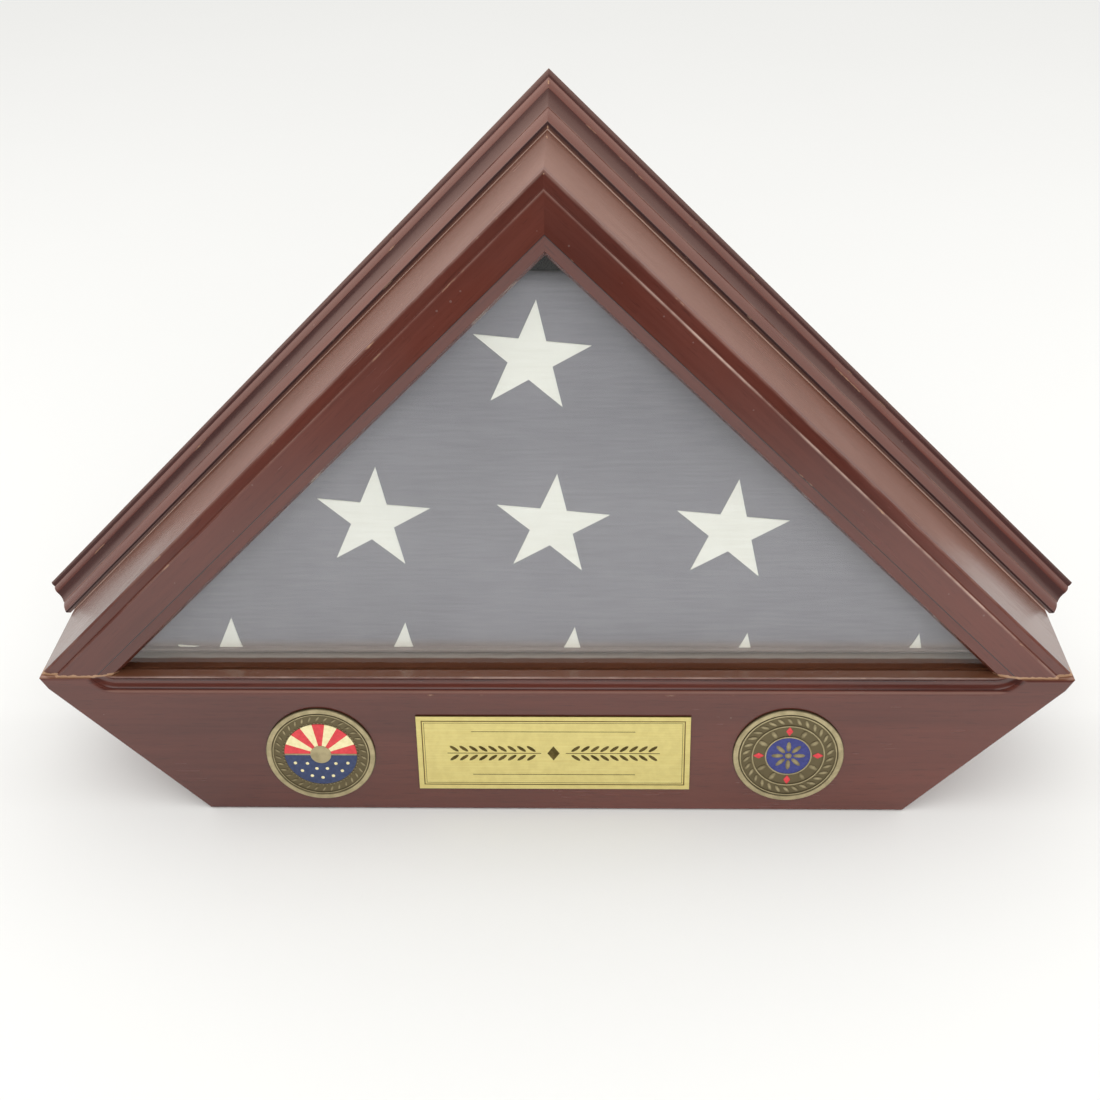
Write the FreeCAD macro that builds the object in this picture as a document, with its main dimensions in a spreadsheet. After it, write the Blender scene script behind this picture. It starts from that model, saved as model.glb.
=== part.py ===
import FreeCAD, Part
import os
import re
import Sketcher

doc = FreeCAD.newDocument("flag_case")

# Driving sizes in millimetres.
SIZES = [
    # base box
    ("base_height", 64.0),
    ("joint_width", 410.0),
    ("tip_height", 5.0),
    ("tip_inset", 3.0),
    ("front_board", 7.3),
    ("back_board", 10.0),
    ("base_side_board", 10.0),
    ("bottom_board", 10.0),
    ("floor_board", 10.0),
    ("glue_block_width", 40.0),
    ("glue_block_side", 10.0),
    ("glue_block_spacing", 150.0),
    # routed top edge of the base front
    ("rout_depth", 1.9),
    ("rout_riser", 0.6),
    ("rout_cove", 4.4),
    ("rout_quirk", 0.3),
    ("rout_round", 2.2),
    ("rout_round_depth", 0.8),
    ("rout_return", 8.0),
    # sloping side boards and the depth of the case
    ("case_depth", 80.0),
    ("rear_recess", 6.0),
    ("side_board", 12.0),
    ("arris", 0.6),
    ("fine_arris", 0.5),
    ("dowel_radius", 2.5),
    ("dowel_depth", 8.0),
    ("dowel_fit", 0.05),
    ("dowel_end_gap", 0.5),
    ("dowel_inset", 12.5),
    ("dowel_front", 24.0),
    ("dowel_pitch", 26.0),
    # front rails
    ("rail_setback", 1.2),
    ("rail_width", 21.8),
    ("rail_round", 1.2),
    ("rail_step_width", 4.3),
    ("rail_step_depth", 2.2),
    ("rail_step_lean", 0.6),
    ("rail_step_cove", 0.6),
    ("lip_width", 6.1),
    ("lip_step", 0.3),
    ("lip_face", 4.6),
    ("lip_fall", 1.4),
    ("lip_edge", 2.0),
    ("rail_dowel_radius", 2.0),
    ("rail_dowel_depth", 10.0),
    ("rail_dowel_inset", 19.0),
    # crown moulding
    ("crown_depth", 26.0),
    ("crown_rise", 10.9),
    ("crown_drop", 2.0),
    ("toe_rise", 1.8),
    ("toe_round", 1.1),
    ("bead_depth", 8.8),
    ("bead_rise", 1.9),
    ("quirk_rise", 0.2),
    ("cove_depth", 8.0),
    ("cove_rise", 3.6),
    ("shelf_depth", 5.2),
    ("shelf_rise", 1.7),
    # window
    ("glass_thickness", 2.5),
    ("glass_edge_gap", 0.8),
    ("glass_seat", 4.0),
    ("glass_slack", 0.3),
    ("glass_tip", 2.0),
    ("stop_width", 5.0),
    ("stop_depth", 6.0),
    ("brad_radius", 0.6),
    ("brad_head_radius", 1.1),
    ("brad_head_height", 0.4),
    ("brad_grip", 6.0),
    ("brad_fit", 0.05),
    ("brad_inset", 30.0),
    # flag
    ("flag_air_gap", 9.2),
    ("flag_thickness", 43.0),
    ("flag_side_gap", 3.0),
    ("flag_tip_cut", 20.8),
    ("flag_corner", 12.0),
    ("flag_round", 6.0),
    # back door
    ("door_thickness", 4.0),
    ("door_seat", 0.2),
    ("door_margin", 2.0),
    ("door_bottom_gap", 0.6),
    ("door_corner", 10.0),
    ("door_top_cut", 8.0),
    ("lining_thickness", 1.0),
    ("lining_margin", 3.0),
    ("lining_low", 5.0),
    ("lining_corner", 12.0),
    ("lining_tip_cut", 27.8),
    # hinges
    ("hinge_spacing", 220.0),
    ("hinge_width", 30.0),
    ("leaf_length", 16.0),
    ("leaf_thickness", 1.0),
    ("knuckle_radius", 2.25),
    ("knuckle_gap", 0.3),
    ("pin_radius", 1.1),
    ("pin_fit", 0.05),
    ("pin_head_radius", 1.7),
    ("pin_head_height", 0.6),
    # screws
    ("screw_radius", 1.2),
    ("screw_head_radius", 2.4),
    ("screw_head_height", 1.2),
    ("screw_pitch", 18.0),
    ("screw_drop", 10.0),
    ("base_screw_length", 9.0),
    ("door_screw_length", 3.6),
    ("slot_width", 0.6),
    ("slot_depth", 0.5),
    ("screw_fit", 0.1),
    # magnetic catch
    ("catch_drop", 14.0),
    ("block_drop", 21.0),
    ("block_depth", 14.0),
    ("magnet_radius", 4.0),
    ("magnet_length", 5.0),
    ("magnet_fit", 0.1),
    ("catch_gap", 0.3),
    ("strike_width", 18.0),
    ("strike_height", 9.0),
    ("strike_thickness", 1.0),
    ("strike_screw_radius", 0.9),
    ("strike_screw_head", 1.7),
    ("strike_sink", 0.8),
    ("strike_screw_pitch", 11.0),
    ("strike_screw_length", 3.4),
    # knob
    ("knob_drop", 11.5),
    ("knob_radius", 6.0),
    ("knob_neck", 3.6),
    ("knob_neck_length", 2.5),
    ("knob_height", 5.5),
    ("knob_screw_length", 6.5),
    ("knob_bore_gap", 0.4),
    # medallions and plate
    ("coin_level", 28.2),
    ("plate_level", 29.0),
    ("coin_spacing", 189.4),
    ("coin_diameter", 44.5),
    ("coin_thickness", 3.2),
    ("coin_recess", 2.0),
    ("coin_fit", 0.15),
    ("coin_rim", 2.0),
    ("coin_field", 0.5),
    ("coin_edge", 0.3),
    ("plate_width", 110.5),
    ("plate_height", 36.0),
    ("plate_thickness", 0.8),
    ("plate_edge", 0.2),
]

# Brads along each glass stop.
BRADS_PER_SLOPE = 3

# Places worked out from the sizes. Y values are in the shared frame, X across, Z up.
PLACES = {
    "half_joint": "joint_width / 2",
    "slope_length": "half_joint * sqrt(2)",
    "coin_proud": "coin_thickness - coin_recess",
    "front_face": "(coin_proud - case_depth) / 2",
    "back_edge": "front_face + case_depth",
    "door_back": "back_edge - rear_recess",
    "door_front": "door_back - door_thickness",
    "side_back": "door_front - door_seat",
    "glass_front": "front_face + front_board",
    "glass_back": "glass_front + glass_thickness",
    "floor_under": "base_height - floor_board",
    "inner_back": "door_back - back_board",
    "box_depth": "inner_back - glass_front",
    "tip_level": "base_height - tip_height",
    "tip_reach": "half_joint - tip_inset",
    "half_bottom": "tip_reach - tip_level",
    "side_slant": "base_side_board * sqrt(2)",
    "inner_bottom": "half_bottom - side_slant",
    "rout_reach": "half_joint - rail_width * sqrt(2)",
    "rout_ledge": "base_height - rout_riser",
    "rout_shoulder": "rout_ledge - rout_cove",
    "rout_foot": "rout_shoulder - rout_round",
    "return_level": "base_height + rout_return",
    "side_depth": "side_back - front_face",
    "crown_start": "case_depth - crown_depth",
    "bead_end": "crown_start + bead_depth",
    "bead_top": "toe_rise + bead_rise",
    "cove_start": "bead_top + quirk_rise",
    "cove_end": "bead_end + cove_depth",
    "cove_top": "cove_start + cove_rise",
    "shelf_end": "cove_end + shelf_depth",
    "shelf_top": "cove_top + shelf_rise",
    "shelf_face": "rail_setback + rail_step_depth",
    "shelf_foot": "shelf_face - rail_step_lean",
    "lip_start": "rail_width - lip_width",
    "stop_start": "front_board + glass_thickness",
    "inner_apex": "base_height + half_joint - side_board * sqrt(2)",
    "catch_z": "inner_apex - catch_drop",
    "knob_z": "catch_z - knob_drop",
    "block_back": "door_front - strike_thickness - catch_gap",
    "block_foot": "inner_apex - block_drop",
    "hinge_y": "door_back + knuckle_radius",
    "hinge_z": "base_height + door_bottom_gap / 2",
    "knuckle_length": "(hinge_width - 2 * knuckle_gap) / 3",
    "knuckle_bore": "pin_radius + pin_fit",
    "knuckle_clear": "knuckle_radius + knuckle_gap",
    "leaf_face": "door_back + leaf_thickness",
    "flag_front": "glass_back + flag_air_gap",
    "coin_radius": "coin_diameter / 2",
    "coin_field_radius": "coin_radius - coin_rim",
    "side_dowel_x": "half_joint - dowel_inset",
    "rail_dowel_x": "half_joint - rail_dowel_inset",
    "rail_dowel_y": "front_face + (rail_setback + front_board) / 2",
    "brad_level": "side_board + stop_width",
    "brad_y": "front_face + stop_start + stop_depth / 2",
    "brad_step": "(slope_length - 2 * brad_inset) / %d" % (BRADS_PER_SLOPE - 1),
}

# Radius of each routed or moulded curve as a share of its chord.
COVE_CURVE = 0.72
BEAD_CURVE = 0.95
CROWN_BEAD_CURVE = 4.0
CROWN_COVE_CURVE = 3.0
SHELF_CURVE = 2.5
NOSE_CURVE = 2.5
SHOULDER_CURVE = 2.4
# A cutter stands this far clear of the face that it cuts through.
CUTTER_MARGIN = 1.0
# The head of a screw narrows to this share of its radius.
HEAD_TAPER = 0.72
# The slopes of the case stand at this angle.
SLOPE_ANGLE = 45.0
# The return at each end of the routed edge turns through this angle.
RETURN_ANGLE = 80.0
FULL_TURN = 360.0
RIGHT_ANGLE = 90.0
# Edges this close to a plane lie in it.
SAME_PLANE = 0.000001

sheet = doc.addObject("Spreadsheet::Sheet", "Sizes")
for row, (alias, value) in enumerate(SIZES, start=1):
    sheet.set("A%d" % row, alias)
    sheet.set("B%d" % row, str(value))
    sheet.setAlias("B%d" % row, alias)
doc.recompute()

ALIASES = set(alias for alias, value in SIZES)
X_AXIS = FreeCAD.Vector(1, 0, 0)
Y_AXIS = FreeCAD.Vector(0, 1, 0)
ORIGIN = FreeCAD.Vector(0, 0, 0)
ALONG_X = FreeCAD.Rotation(Y_AXIS, RIGHT_ANGLE)
TO_BACK = FreeCAD.Rotation(X_AXIS, -RIGHT_ANGLE)
TO_FRONT = FreeCAD.Rotation(X_AXIS, RIGHT_ANGLE)
SIDES = (("left", -1), ("right", 1))
finished = []


def expand(text):
    """Write a sum of sizes and places as an expression on the sheet."""
    def swap(match):
        word = match.group(0)
        if word in PLACES:
            return "(" + expand(PLACES[word]) + ")"
        if word in ALIASES:
            return "Sizes." + word
        return word
    return re.sub(r"[a-z_]+[a-z]", swap, text)


def number(text):
    """The present value of a sum of sizes and places."""
    return float(sheet.evalExpression(expand(text)))


def bind(item, prop, text):
    item.setExpression(prop, expand(text))


def place(item, x, y, z, rotation=None):
    """Put an object at a place that follows the sheet."""
    item.Placement = FreeCAD.Placement(ORIGIN, rotation or FreeCAD.Rotation())
    bind(item, "Placement.Base.x", x)
    bind(item, "Placement.Base.y", y)
    bind(item, "Placement.Base.z", z)


def finish(item, label):
    item.Label = label
    finished.append(item)
    return item


def new_body(name):
    return doc.addObject("PartDesign::Body", name)


def new_sketch(body, name, role, offset=None):
    """A sketch on one of the body's own origin planes, moved along its normal."""
    sketch = body.newObject("Sketcher::SketchObject", name)
    plane = [item for item in body.Origin.OriginFeatures if item.Role == role][0]
    sketch.AttachmentSupport = [(plane, "")]
    sketch.MapMode = "FlatFace"
    if offset:
        bind(sketch, "AttachmentOffset.Base.z", offset)
    return sketch


def pin_point(sketch, geometry, end, x, y):
    """Hold one end of a sketch edge at a place that follows the sheet."""
    for kind, text, axis in (("DistanceX", x, -2), ("DistanceY", y, -1)):
        if text == "0":
            sketch.addConstraint(Sketcher.Constraint("PointOnObject", geometry, end, axis))
            continue
        index = sketch.addConstraint(Sketcher.Constraint(kind, -1, 1, geometry, end, number(text)))
        bind(sketch, "Constraints[%d]" % index, text)


def draw_arc(sketch, start, end, share, turn):
    """An arc between two corners, with its radius a share of the chord.

    A positive turn puts the centre on the left of the way from start to end.
    """
    a = FreeCAD.Vector(number(start[0]), number(start[1]), 0)
    b = FreeCAD.Vector(number(end[0]), number(end[1]), 0)
    chord = b - a
    radius = share * chord.Length
    drop = (radius ** 2 - (chord.Length / 2) ** 2) ** 0.5
    normal = FreeCAD.Vector(-chord.y, chord.x, 0).normalize()
    bulge = (a + b) * 0.5 + normal * turn * (drop - radius)
    curve = Part.Arc(a, bulge, b) if turn > 0 else Part.Arc(b, bulge, a)
    index = sketch.addGeometry(curve, False)
    text = "%s * sqrt(((%s) - (%s))^2 + ((%s) - (%s))^2)" % (share, end[0], start[0], end[1], start[1])
    rule = sketch.addConstraint(Sketcher.Constraint("Radius", index, radius))
    bind(sketch, "Constraints[%d]" % rule, text)
    return (index, 1, 2) if turn > 0 else (index, 2, 1)


def draw_outline(sketch, corners, curves=None):
    """A closed outline through corners given as sums of sizes; some edges may be arcs."""
    curves = curves or {}
    edges = []
    for index, start in enumerate(corners):
        end = corners[(index + 1) % len(corners)]
        if index in curves:
            share, turn = curves[index]
            edges.append(draw_arc(sketch, start, end, share, turn))
            continue
        a = FreeCAD.Vector(number(start[0]), number(start[1]), 0)
        b = FreeCAD.Vector(number(end[0]), number(end[1]), 0)
        edges.append((sketch.addGeometry(Part.LineSegment(a, b), False), 1, 2))
    for index, (edge, first, last) in enumerate(edges):
        following, start, ending = edges[(index + 1) % len(edges)]
        sketch.addConstraint(Sketcher.Constraint("Coincident", edge, last, following, start))
        pin_point(sketch, edge, first, corners[index][0], corners[index][1])


def draw_circles(sketch, centres, radius):
    for x, y in centres:
        centre = FreeCAD.Vector(number(x), number(y), 0)
        index = sketch.addGeometry(Part.Circle(centre, FreeCAD.Vector(0, 0, 1), number(radius)), False)
        rule = sketch.addConstraint(Sketcher.Constraint("Radius", index, number(radius)))
        bind(sketch, "Constraints[%d]" % rule, radius)
        pin_point(sketch, index, 3, x, y)


def pad(body, sketch, length, reverse=False):
    feature = body.newObject("PartDesign::Pad", sketch.Name + "_pad")
    feature.Profile = sketch
    feature.Reversed = reverse
    bind(feature, "Length", length)
    doc.recompute()
    return feature


def pocket(body, sketch, depth=None, reverse=False, both_ways=False):
    """Cut a sketch to a depth, or right through on both sides where no depth is given."""
    before = body.Shape.Volume
    feature = body.newObject("PartDesign::Pocket", sketch.Name + "_pocket")
    feature.Profile = sketch
    feature.Reversed = reverse
    if both_ways or not depth:
        feature.SideType = "Symmetric"
    if depth:
        bind(feature, "Length", depth)
    else:
        feature.Type = "ThroughAll"
    doc.recompute()
    if not body.Shape.Volume < before:
        raise ValueError("nothing was cut by " + feature.Name)
    return feature


def revolve(body, sketch):
    """Turn a section, drawn as depth across and radius up, about its depth axis."""
    feature = body.newObject("PartDesign::Revolution", sketch.Name + "_turned")
    feature.Profile = sketch
    feature.ReferenceAxis = (sketch, ["H_Axis"])
    feature.Angle = FULL_TURN
    doc.recompute()
    return feature


def level_edges(feature, depths):
    """Names of the edges of a feature that lie in upright planes at the given depths."""
    names = []
    for index, edge in enumerate(feature.Shape.Edges, start=1):
        reach = edge.BoundBox
        near = min(abs(reach.YMin - depth) for depth in depths)
        if reach.YLength < SAME_PLANE and near < SAME_PLANE:
            names.append("Edge%d" % index)
    return names


def bevel_front(body, size):
    """Take the sharp edge off the whole outline of a board's front face."""
    blank = body.Tip
    feature = body.newObject("PartDesign::Chamfer", body.Name + "_bevel")
    feature.Base = (blank, level_edges(blank, (0.0,)))
    bind(feature, "Size", size)
    doc.recompute()


def mirrored_outline(corners):
    """The same outline on the other side of the case."""
    return [("-(%s)" % x, y) for x, y in corners]


def tent_outline(inset, low, corner, tip_cut):
    """The triangle of the case, a given way in from the outside of the slopes.

    Heights are over the top of the base. The bottom corners are cut upright and the tip is cut level.
    """
    reach = "(half_joint - (%s) * sqrt(2))" % inset
    top = "%s - %s" % (reach, tip_cut)
    corner_x = "%s - (%s)" % (reach, corner)
    top_x = "%s - (%s)" % (reach, top)
    levels = ["base_height + (%s)" % level for level in (low, corner, top)]
    right = [(corner_x, levels[0]), (corner_x, levels[1]), (top_x, levels[2])]
    return right + mirrored_outline(right)[::-1]


def board(name, corners, depth, y):
    """A board cut to an outline seen from the front, with its front face at a given depth."""
    body = new_body(name)
    sketch = new_sketch(body, name + "_outline", "XZ_Plane")
    draw_outline(sketch, corners)
    pad(body, sketch, depth, reverse=True)
    place(body, "0", y, "0")
    return body


def sloped(name, side, corners, reach, curves=None, drop="0"):
    """A board or moulding along one slope, mitred at the top and cut level at the foot.

    The section is drawn with depth behind the base front across and height over the slope up.
    The foot may drop below the top of the base.
    """
    body = new_body(name)
    extra = "(%s) * sqrt(2)" % drop
    before = "(%s) + %s" % (reach, extra if side < 0 else "0")
    section = new_sketch(body, name + "_section", "YZ_Plane", "-(%s)" % before)
    draw_outline(section, corners, curves)
    pad(body, section, "slope_length + 2 * (%s) + %s" % (reach, extra))
    ends = new_sketch(body, name + "_ends", "XZ_Plane")
    back = "-(%s)" % reach
    far = "-2 * (%s) - %s" % (reach, extra)
    low = [(reach, back), (back, reach), (far, reach), (far, back)]
    near_shift, far_shift = (extra, "0") if side < 0 else ("0", extra)
    draw_outline(ends, [(x if x == far else "%s - %s" % (x, near_shift), y) for x, y in low])
    draw_outline(ends, [("slope_length + %s - (%s)" % (far_shift, x), y) for x, y in low])
    pocket(body, ends)
    if side < 0:
        place(body, "-half_joint", "front_face", "base_height", FreeCAD.Rotation(Y_AXIS, -SLOPE_ANGLE))
    else:
        place(body, "0", "front_face", "base_height + half_joint", FreeCAD.Rotation(Y_AXIS, SLOPE_ANGLE))
    return body


def over_slope(hand, run, height):
    """Across and up of a point a given way along one slope from its foot, at a height over it."""
    across = "%d * (half_joint - (%s - (%s)) / sqrt(2))" % (hand, run, height)
    return across, "base_height + (%s + (%s)) / sqrt(2)" % (run, height)


def cylinder(name, radius, length, x, y, z, rotation=None):
    item = doc.addObject("Part::Cylinder", name)
    bind(item, "Radius", radius)
    bind(item, "Height", length)
    place(item, x, y, z, rotation)
    return item


def box(name, width, depth, height, x, y, z):
    item = doc.addObject("Part::Box", name)
    bind(item, "Length", width)
    bind(item, "Width", depth)
    bind(item, "Height", height)
    place(item, x, y, z)
    return item


def group(name, items):
    item = doc.addObject("Part::Compound", name)
    item.Links = items
    return item


def fuse(name, items):
    item = doc.addObject("Part::MultiFuse", name)
    item.Shapes = items
    return item


def cut(name, base, tools):
    item = doc.addObject("Part::Cut", name)
    item.Base = base
    item.Tool = group(name + "_tools", tools)
    return item


def cone(name, near_radius, far_radius, length, x, y, z, rotation=None):
    item = doc.addObject("Part::Cone", name)
    bind(item, "Radius1", near_radius)
    bind(item, "Radius2", far_radius)
    bind(item, "Height", length)
    place(item, x, y, z, rotation)
    return item


def screw(name, radius, head_radius, length, x, y, z, turn, sink=None):
    """A slotted screw with its shank along Y and its head on the given place, or sunk flush with it."""
    shank = cylinder(name + "_shank", radius, length, "0", "0", "0")
    if sink:
        top = "0"
        head = cone(name + "_head", head_radius, radius, sink, "0", "0", top)
    else:
        top = "-screw_head_height"
        head = cone(name + "_head", "%s * (%s)" % (HEAD_TAPER, head_radius), head_radius,
                    "screw_head_height", "0", "0", top)
    slot = box(name + "_slot", "2 * (%s)" % head_radius, "slot_width", "slot_depth",
               "-(%s)" % head_radius, "-slot_width / 2", top)
    item = cut(name, fuse(name + "_blank", [shank, head]), [slot])
    place(item, x, y, z, turn)
    return item


def hinge_leaf(name, x, upward):
    """One leaf of a butt hinge: the lower leaf has the two outer knuckles, the upper leaf the inner one."""
    start = "hinge_z" if upward else "hinge_z - leaf_length"
    plate = box(name + "_plate", "hinge_width", "leaf_thickness", "leaf_length",
                "%s - hinge_width / 2" % x, "door_back", start)
    offsets = ["-knuckle_length / 2"] if upward else ["-hinge_width / 2", "hinge_width / 2 - knuckle_length"]
    rolls = [cylinder("%s_knuckle_%d" % (name, index), "knuckle_radius", "knuckle_length",
                      "%s + (%s)" % (x, offset), "hinge_y", "hinge_z", ALONG_X)
             for index, offset in enumerate(offsets)]
    low = "hinge_z - %s" % CUTTER_MARGIN if upward else "hinge_z - knuckle_clear"
    gap_front = "door_back - %s" % CUTTER_MARGIN
    gap_depth = "leaf_thickness + 2 * %s" % CUTTER_MARGIN
    gap_height = "knuckle_clear + %s" % CUTTER_MARGIN
    if upward:
        gap_width = "(hinge_width - knuckle_length) / 2 + %s" % CUTTER_MARGIN
        starts = ["-hinge_width / 2 - %s" % CUTTER_MARGIN, "knuckle_length / 2"]
    else:
        gap_width = "knuckle_length + 2 * knuckle_gap"
        starts = ["-knuckle_length / 2 - knuckle_gap"]
    gaps = [box("%s_gap_%d" % (name, index), gap_width, gap_depth, gap_height,
                "%s + (%s)" % (x, offset), gap_front, low)
            for index, offset in enumerate(starts)]
    bore = cylinder(name + "_bore", "knuckle_bore", "hinge_width + 2 * %s" % CUTTER_MARGIN,
                    "%s - hinge_width / 2 - %s" % (x, CUTTER_MARGIN), "hinge_y", "hinge_z", ALONG_X)
    level = "hinge_z + screw_drop" if upward else "hinge_z - screw_drop"
    holes = [cylinder("%s_hole_%d" % (name, index), "screw_radius + screw_fit", gap_depth,
                      "%s + %s * screw_pitch / 2" % (x, hand), gap_front, level, TO_BACK)
             for index, hand in enumerate((-1, 1))]
    notched = cut(name + "_notched", plate, gaps)
    return cut(name, fuse(name + "_leaf", [notched] + rolls), [bore] + holes)


def hinge_pin(name, x):
    shaft = cylinder(name + "_shaft", "pin_radius", "hinge_width",
                     "%s - hinge_width / 2" % x, "hinge_y", "hinge_z", ALONG_X)
    starts = ["%s - hinge_width / 2 - pin_head_height" % x, "%s + hinge_width / 2" % x]
    heads = [cylinder("%s_head_%d" % (name, index), "pin_head_radius", "pin_head_height",
                      start, "hinge_y", "hinge_z", ALONG_X)
             for index, start in enumerate(starts)]
    return fuse(name, [shaft] + heads)


# Base box. Its front and back boards share one outline, cut back at 45 degrees to a blunt tip.
base_right = [("half_bottom", "0"), ("tip_reach", "tip_level"), ("half_joint", "base_height")]
base_outline = base_right + mirrored_outline(base_right)[::-1]
coin_centres = [("%d * coin_spacing / 2" % hand, "coin_level") for label, hand in SIDES]

base_front = board("base_front", base_outline, "front_board", "front_face")
bevel_front(base_front, "arris")
recesses = new_sketch(base_front, "coin_recesses", "XZ_Plane")
draw_circles(recesses, coin_centres, "coin_radius + coin_fit")
pocket(base_front, recesses, "coin_recess")
dowel_holes = new_sketch(base_front, "rail_dowel_holes", "XY_Plane", "base_height")
draw_circles(dowel_holes, [("%d * rail_dowel_x" % hand, "rail_dowel_y - front_face")
                           for label, hand in SIDES], "rail_dowel_radius + dowel_fit")
pocket(base_front, dowel_holes, "rail_dowel_depth")

# The routed edge runs between the rails and turns up and out at each end.
clear_front = "-%s" % CUTTER_MARGIN
clear_top = "base_height + %s" % CUTTER_MARGIN
rout_corners = [(clear_front, "rout_foot"), ("0", "rout_foot"), ("rout_round_depth", "rout_shoulder"),
                ("rout_round_depth + rout_quirk", "rout_shoulder"), ("rout_depth", "rout_ledge"),
                ("rout_depth", clear_top), (clear_front, clear_top)]
rout_curves = {1: (SHOULDER_CURVE, -1), 3: (COVE_CURVE, 1)}
rout = new_sketch(base_front, "rout", "YZ_Plane")
draw_outline(rout, rout_corners, rout_curves)
pocket(base_front, rout, "2 * rout_reach", both_ways=True)
for label, hand in SIDES:
    section = new_sketch(base_front, label + "_rout_return", "YZ_Plane", "%d * rout_reach" % hand)
    draw_outline(section, rout_corners, rout_curves)
    axis_ends = [FreeCAD.Vector(number(y), number("return_level"), 0) for y in (clear_front, "rout_depth")]
    axis = section.addGeometry(Part.LineSegment(axis_ends[0], axis_ends[1]), True)
    pin_point(section, axis, 1, clear_front, "return_level")
    pin_point(section, axis, 2, "rout_depth", "return_level")
    turned = base_front.newObject("PartDesign::Groove", label + "_rout_return_cut")
    turned.Profile = section
    turned.ReferenceAxis = (section, ["Axis0"])
    turned.Angle = RETURN_ANGLE
    turned.Reversed = hand > 0
    doc.recompute()
finish(base_front, "base_front")

hinge_centres = ["%d * hinge_spacing / 2" % hand for label, hand in SIDES]
screw_xs = ["%s + %d * screw_pitch / 2" % (x, hand) for x in hinge_centres for label, hand in SIDES]
base_back = board("base_back", base_outline, "back_board", "inner_back")
pilots = new_sketch(base_back, "base_screw_pilots", "XZ_Plane", "-back_board")
draw_circles(pilots, [(x, "hinge_z - screw_drop") for x in screw_xs], "screw_radius + screw_fit")
pocket(base_back, pilots, "base_screw_length - leaf_thickness + screw_fit", reverse=True)
finish(base_back, "base_back")

side_right = [("half_bottom", "0"), ("half_bottom + floor_under", "floor_under"),
              ("inner_bottom + floor_under", "floor_under"), ("inner_bottom", "0")]
for (label, hand), corners in zip(SIDES, (mirrored_outline(side_right), side_right)):
    finish(board("base_%s_side" % label, corners, "box_depth", "glass_front"), "base_%s_side" % label)

bottom_right = [("inner_bottom", "0"), ("inner_bottom + bottom_board", "bottom_board")]
bottom_outline = bottom_right + mirrored_outline(bottom_right)[::-1]
finish(board("base_bottom", bottom_outline, "box_depth", "glass_front"), "base_bottom")

block_ys = ["glass_front", "inner_back - glue_block_side"]
blocks = [box("glue_block_%s_%d" % (label, row), "glue_block_width", "glue_block_side", "glue_block_side",
              "%d * glue_block_spacing / 2 - glue_block_width / 2" % hand, y, "bottom_board")
          for label, hand in SIDES for row, y in enumerate(block_ys)]
finish(group("base_glue_blocks", blocks), "base_glue_blocks")

# Floor of the flag space, with a rabbet along its front for the bottom edge of the glass.
floor_right = [("half_bottom + floor_under", "floor_under"), ("tip_reach", "tip_level"),
               ("half_joint", "base_height")]
case_floor = board("case_floor", floor_right + mirrored_outline(floor_right)[::-1], "box_depth",
                   "glass_front")
seat_back = "glass_thickness + glass_slack"
seat = new_sketch(case_floor, "glass_seat", "YZ_Plane")
draw_outline(seat, [(clear_front, "base_height - glass_seat"), (seat_back, "base_height - glass_seat"),
                    (seat_back, clear_top), (clear_front, clear_top)])
pocket(case_floor, seat)
dowel_ys = ["dowel_front", "dowel_front + dowel_pitch"]
floor_holes = new_sketch(case_floor, "side_dowel_holes", "XY_Plane", "base_height")
draw_circles(floor_holes, [("%d * side_dowel_x" % hand, "%s - front_board" % y)
                           for label, hand in SIDES for y in dowel_ys], "dowel_radius + dowel_fit")
pocket(case_floor, floor_holes, "dowel_depth")
finish(case_floor, "case_floor")

# Dowels stand on the bottom of their holes in the base and reach up into the boards and rails.
side_dowels = []
rail_dowels = []
for label, hand in SIDES:
    for row, y in enumerate(dowel_ys):
        side_dowels.append(cylinder("side_dowel_%s_%d" % (label, row), "dowel_radius", "2 * dowel_depth",
                                    "%d * side_dowel_x" % hand, "front_face + %s" % y,
                                    "base_height - dowel_depth"))
    rail_dowels.append(cylinder("rail_dowel_%s" % label, "rail_dowel_radius", "2 * rail_dowel_depth",
                                "%d * rail_dowel_x" % hand, "rail_dowel_y", "base_height - rail_dowel_depth"))
finish(group("side_dowels", side_dowels), "side_dowels")
finish(group("rail_dowels", rail_dowels), "rail_dowels")

side_section = [("front_board", "-side_board"), ("side_depth", "-side_board"),
                ("side_depth", "0"), ("front_board", "0")]
rail_section = [("front_board", "-rail_width"), ("front_board", "0"), ("shelf_face + rail_round", "0"),
                ("shelf_face", "-rail_round"), ("shelf_foot", "rail_step_cove - rail_step_width"),
                ("shelf_foot - rail_step_cove", "-rail_step_width"),
                ("rail_setback + fine_arris", "-rail_step_width"),
                ("rail_setback", "-rail_step_width - fine_arris"), ("rail_setback", "-lip_start"),
                ("rail_setback + lip_step", "-lip_start"),
                ("rail_setback + lip_step + lip_fall", "-lip_start - lip_face"),
                ("front_board - lip_edge", "-rail_width")]
rail_curves = {2: (COVE_CURVE, 1), 4: (COVE_CURVE, -1)}
crown_section = [("crown_start", "0"), ("case_depth", "0"), ("case_depth", "crown_rise - arris"),
                 ("case_depth - arris", "crown_rise"), ("shelf_end", "shelf_top"), ("cove_end", "cove_top"),
                 ("bead_end", "cove_start"), ("bead_end", "bead_top"),
                 ("crown_start + toe_round", "toe_rise"), ("crown_start", "toe_rise - toe_round")]
crown_curves = {3: (NOSE_CURVE, 1), 4: (SHELF_CURVE, 1), 5: (CROWN_COVE_CURVE, -1),
                7: (CROWN_BEAD_CURVE, 1), 8: (COVE_CURVE, 1)}
stop_section = [("stop_start", "-brad_level"), ("stop_start + stop_depth", "-brad_level"),
                ("stop_start + stop_depth", "-side_board"), ("stop_start", "-side_board")]
brads = []
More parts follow.
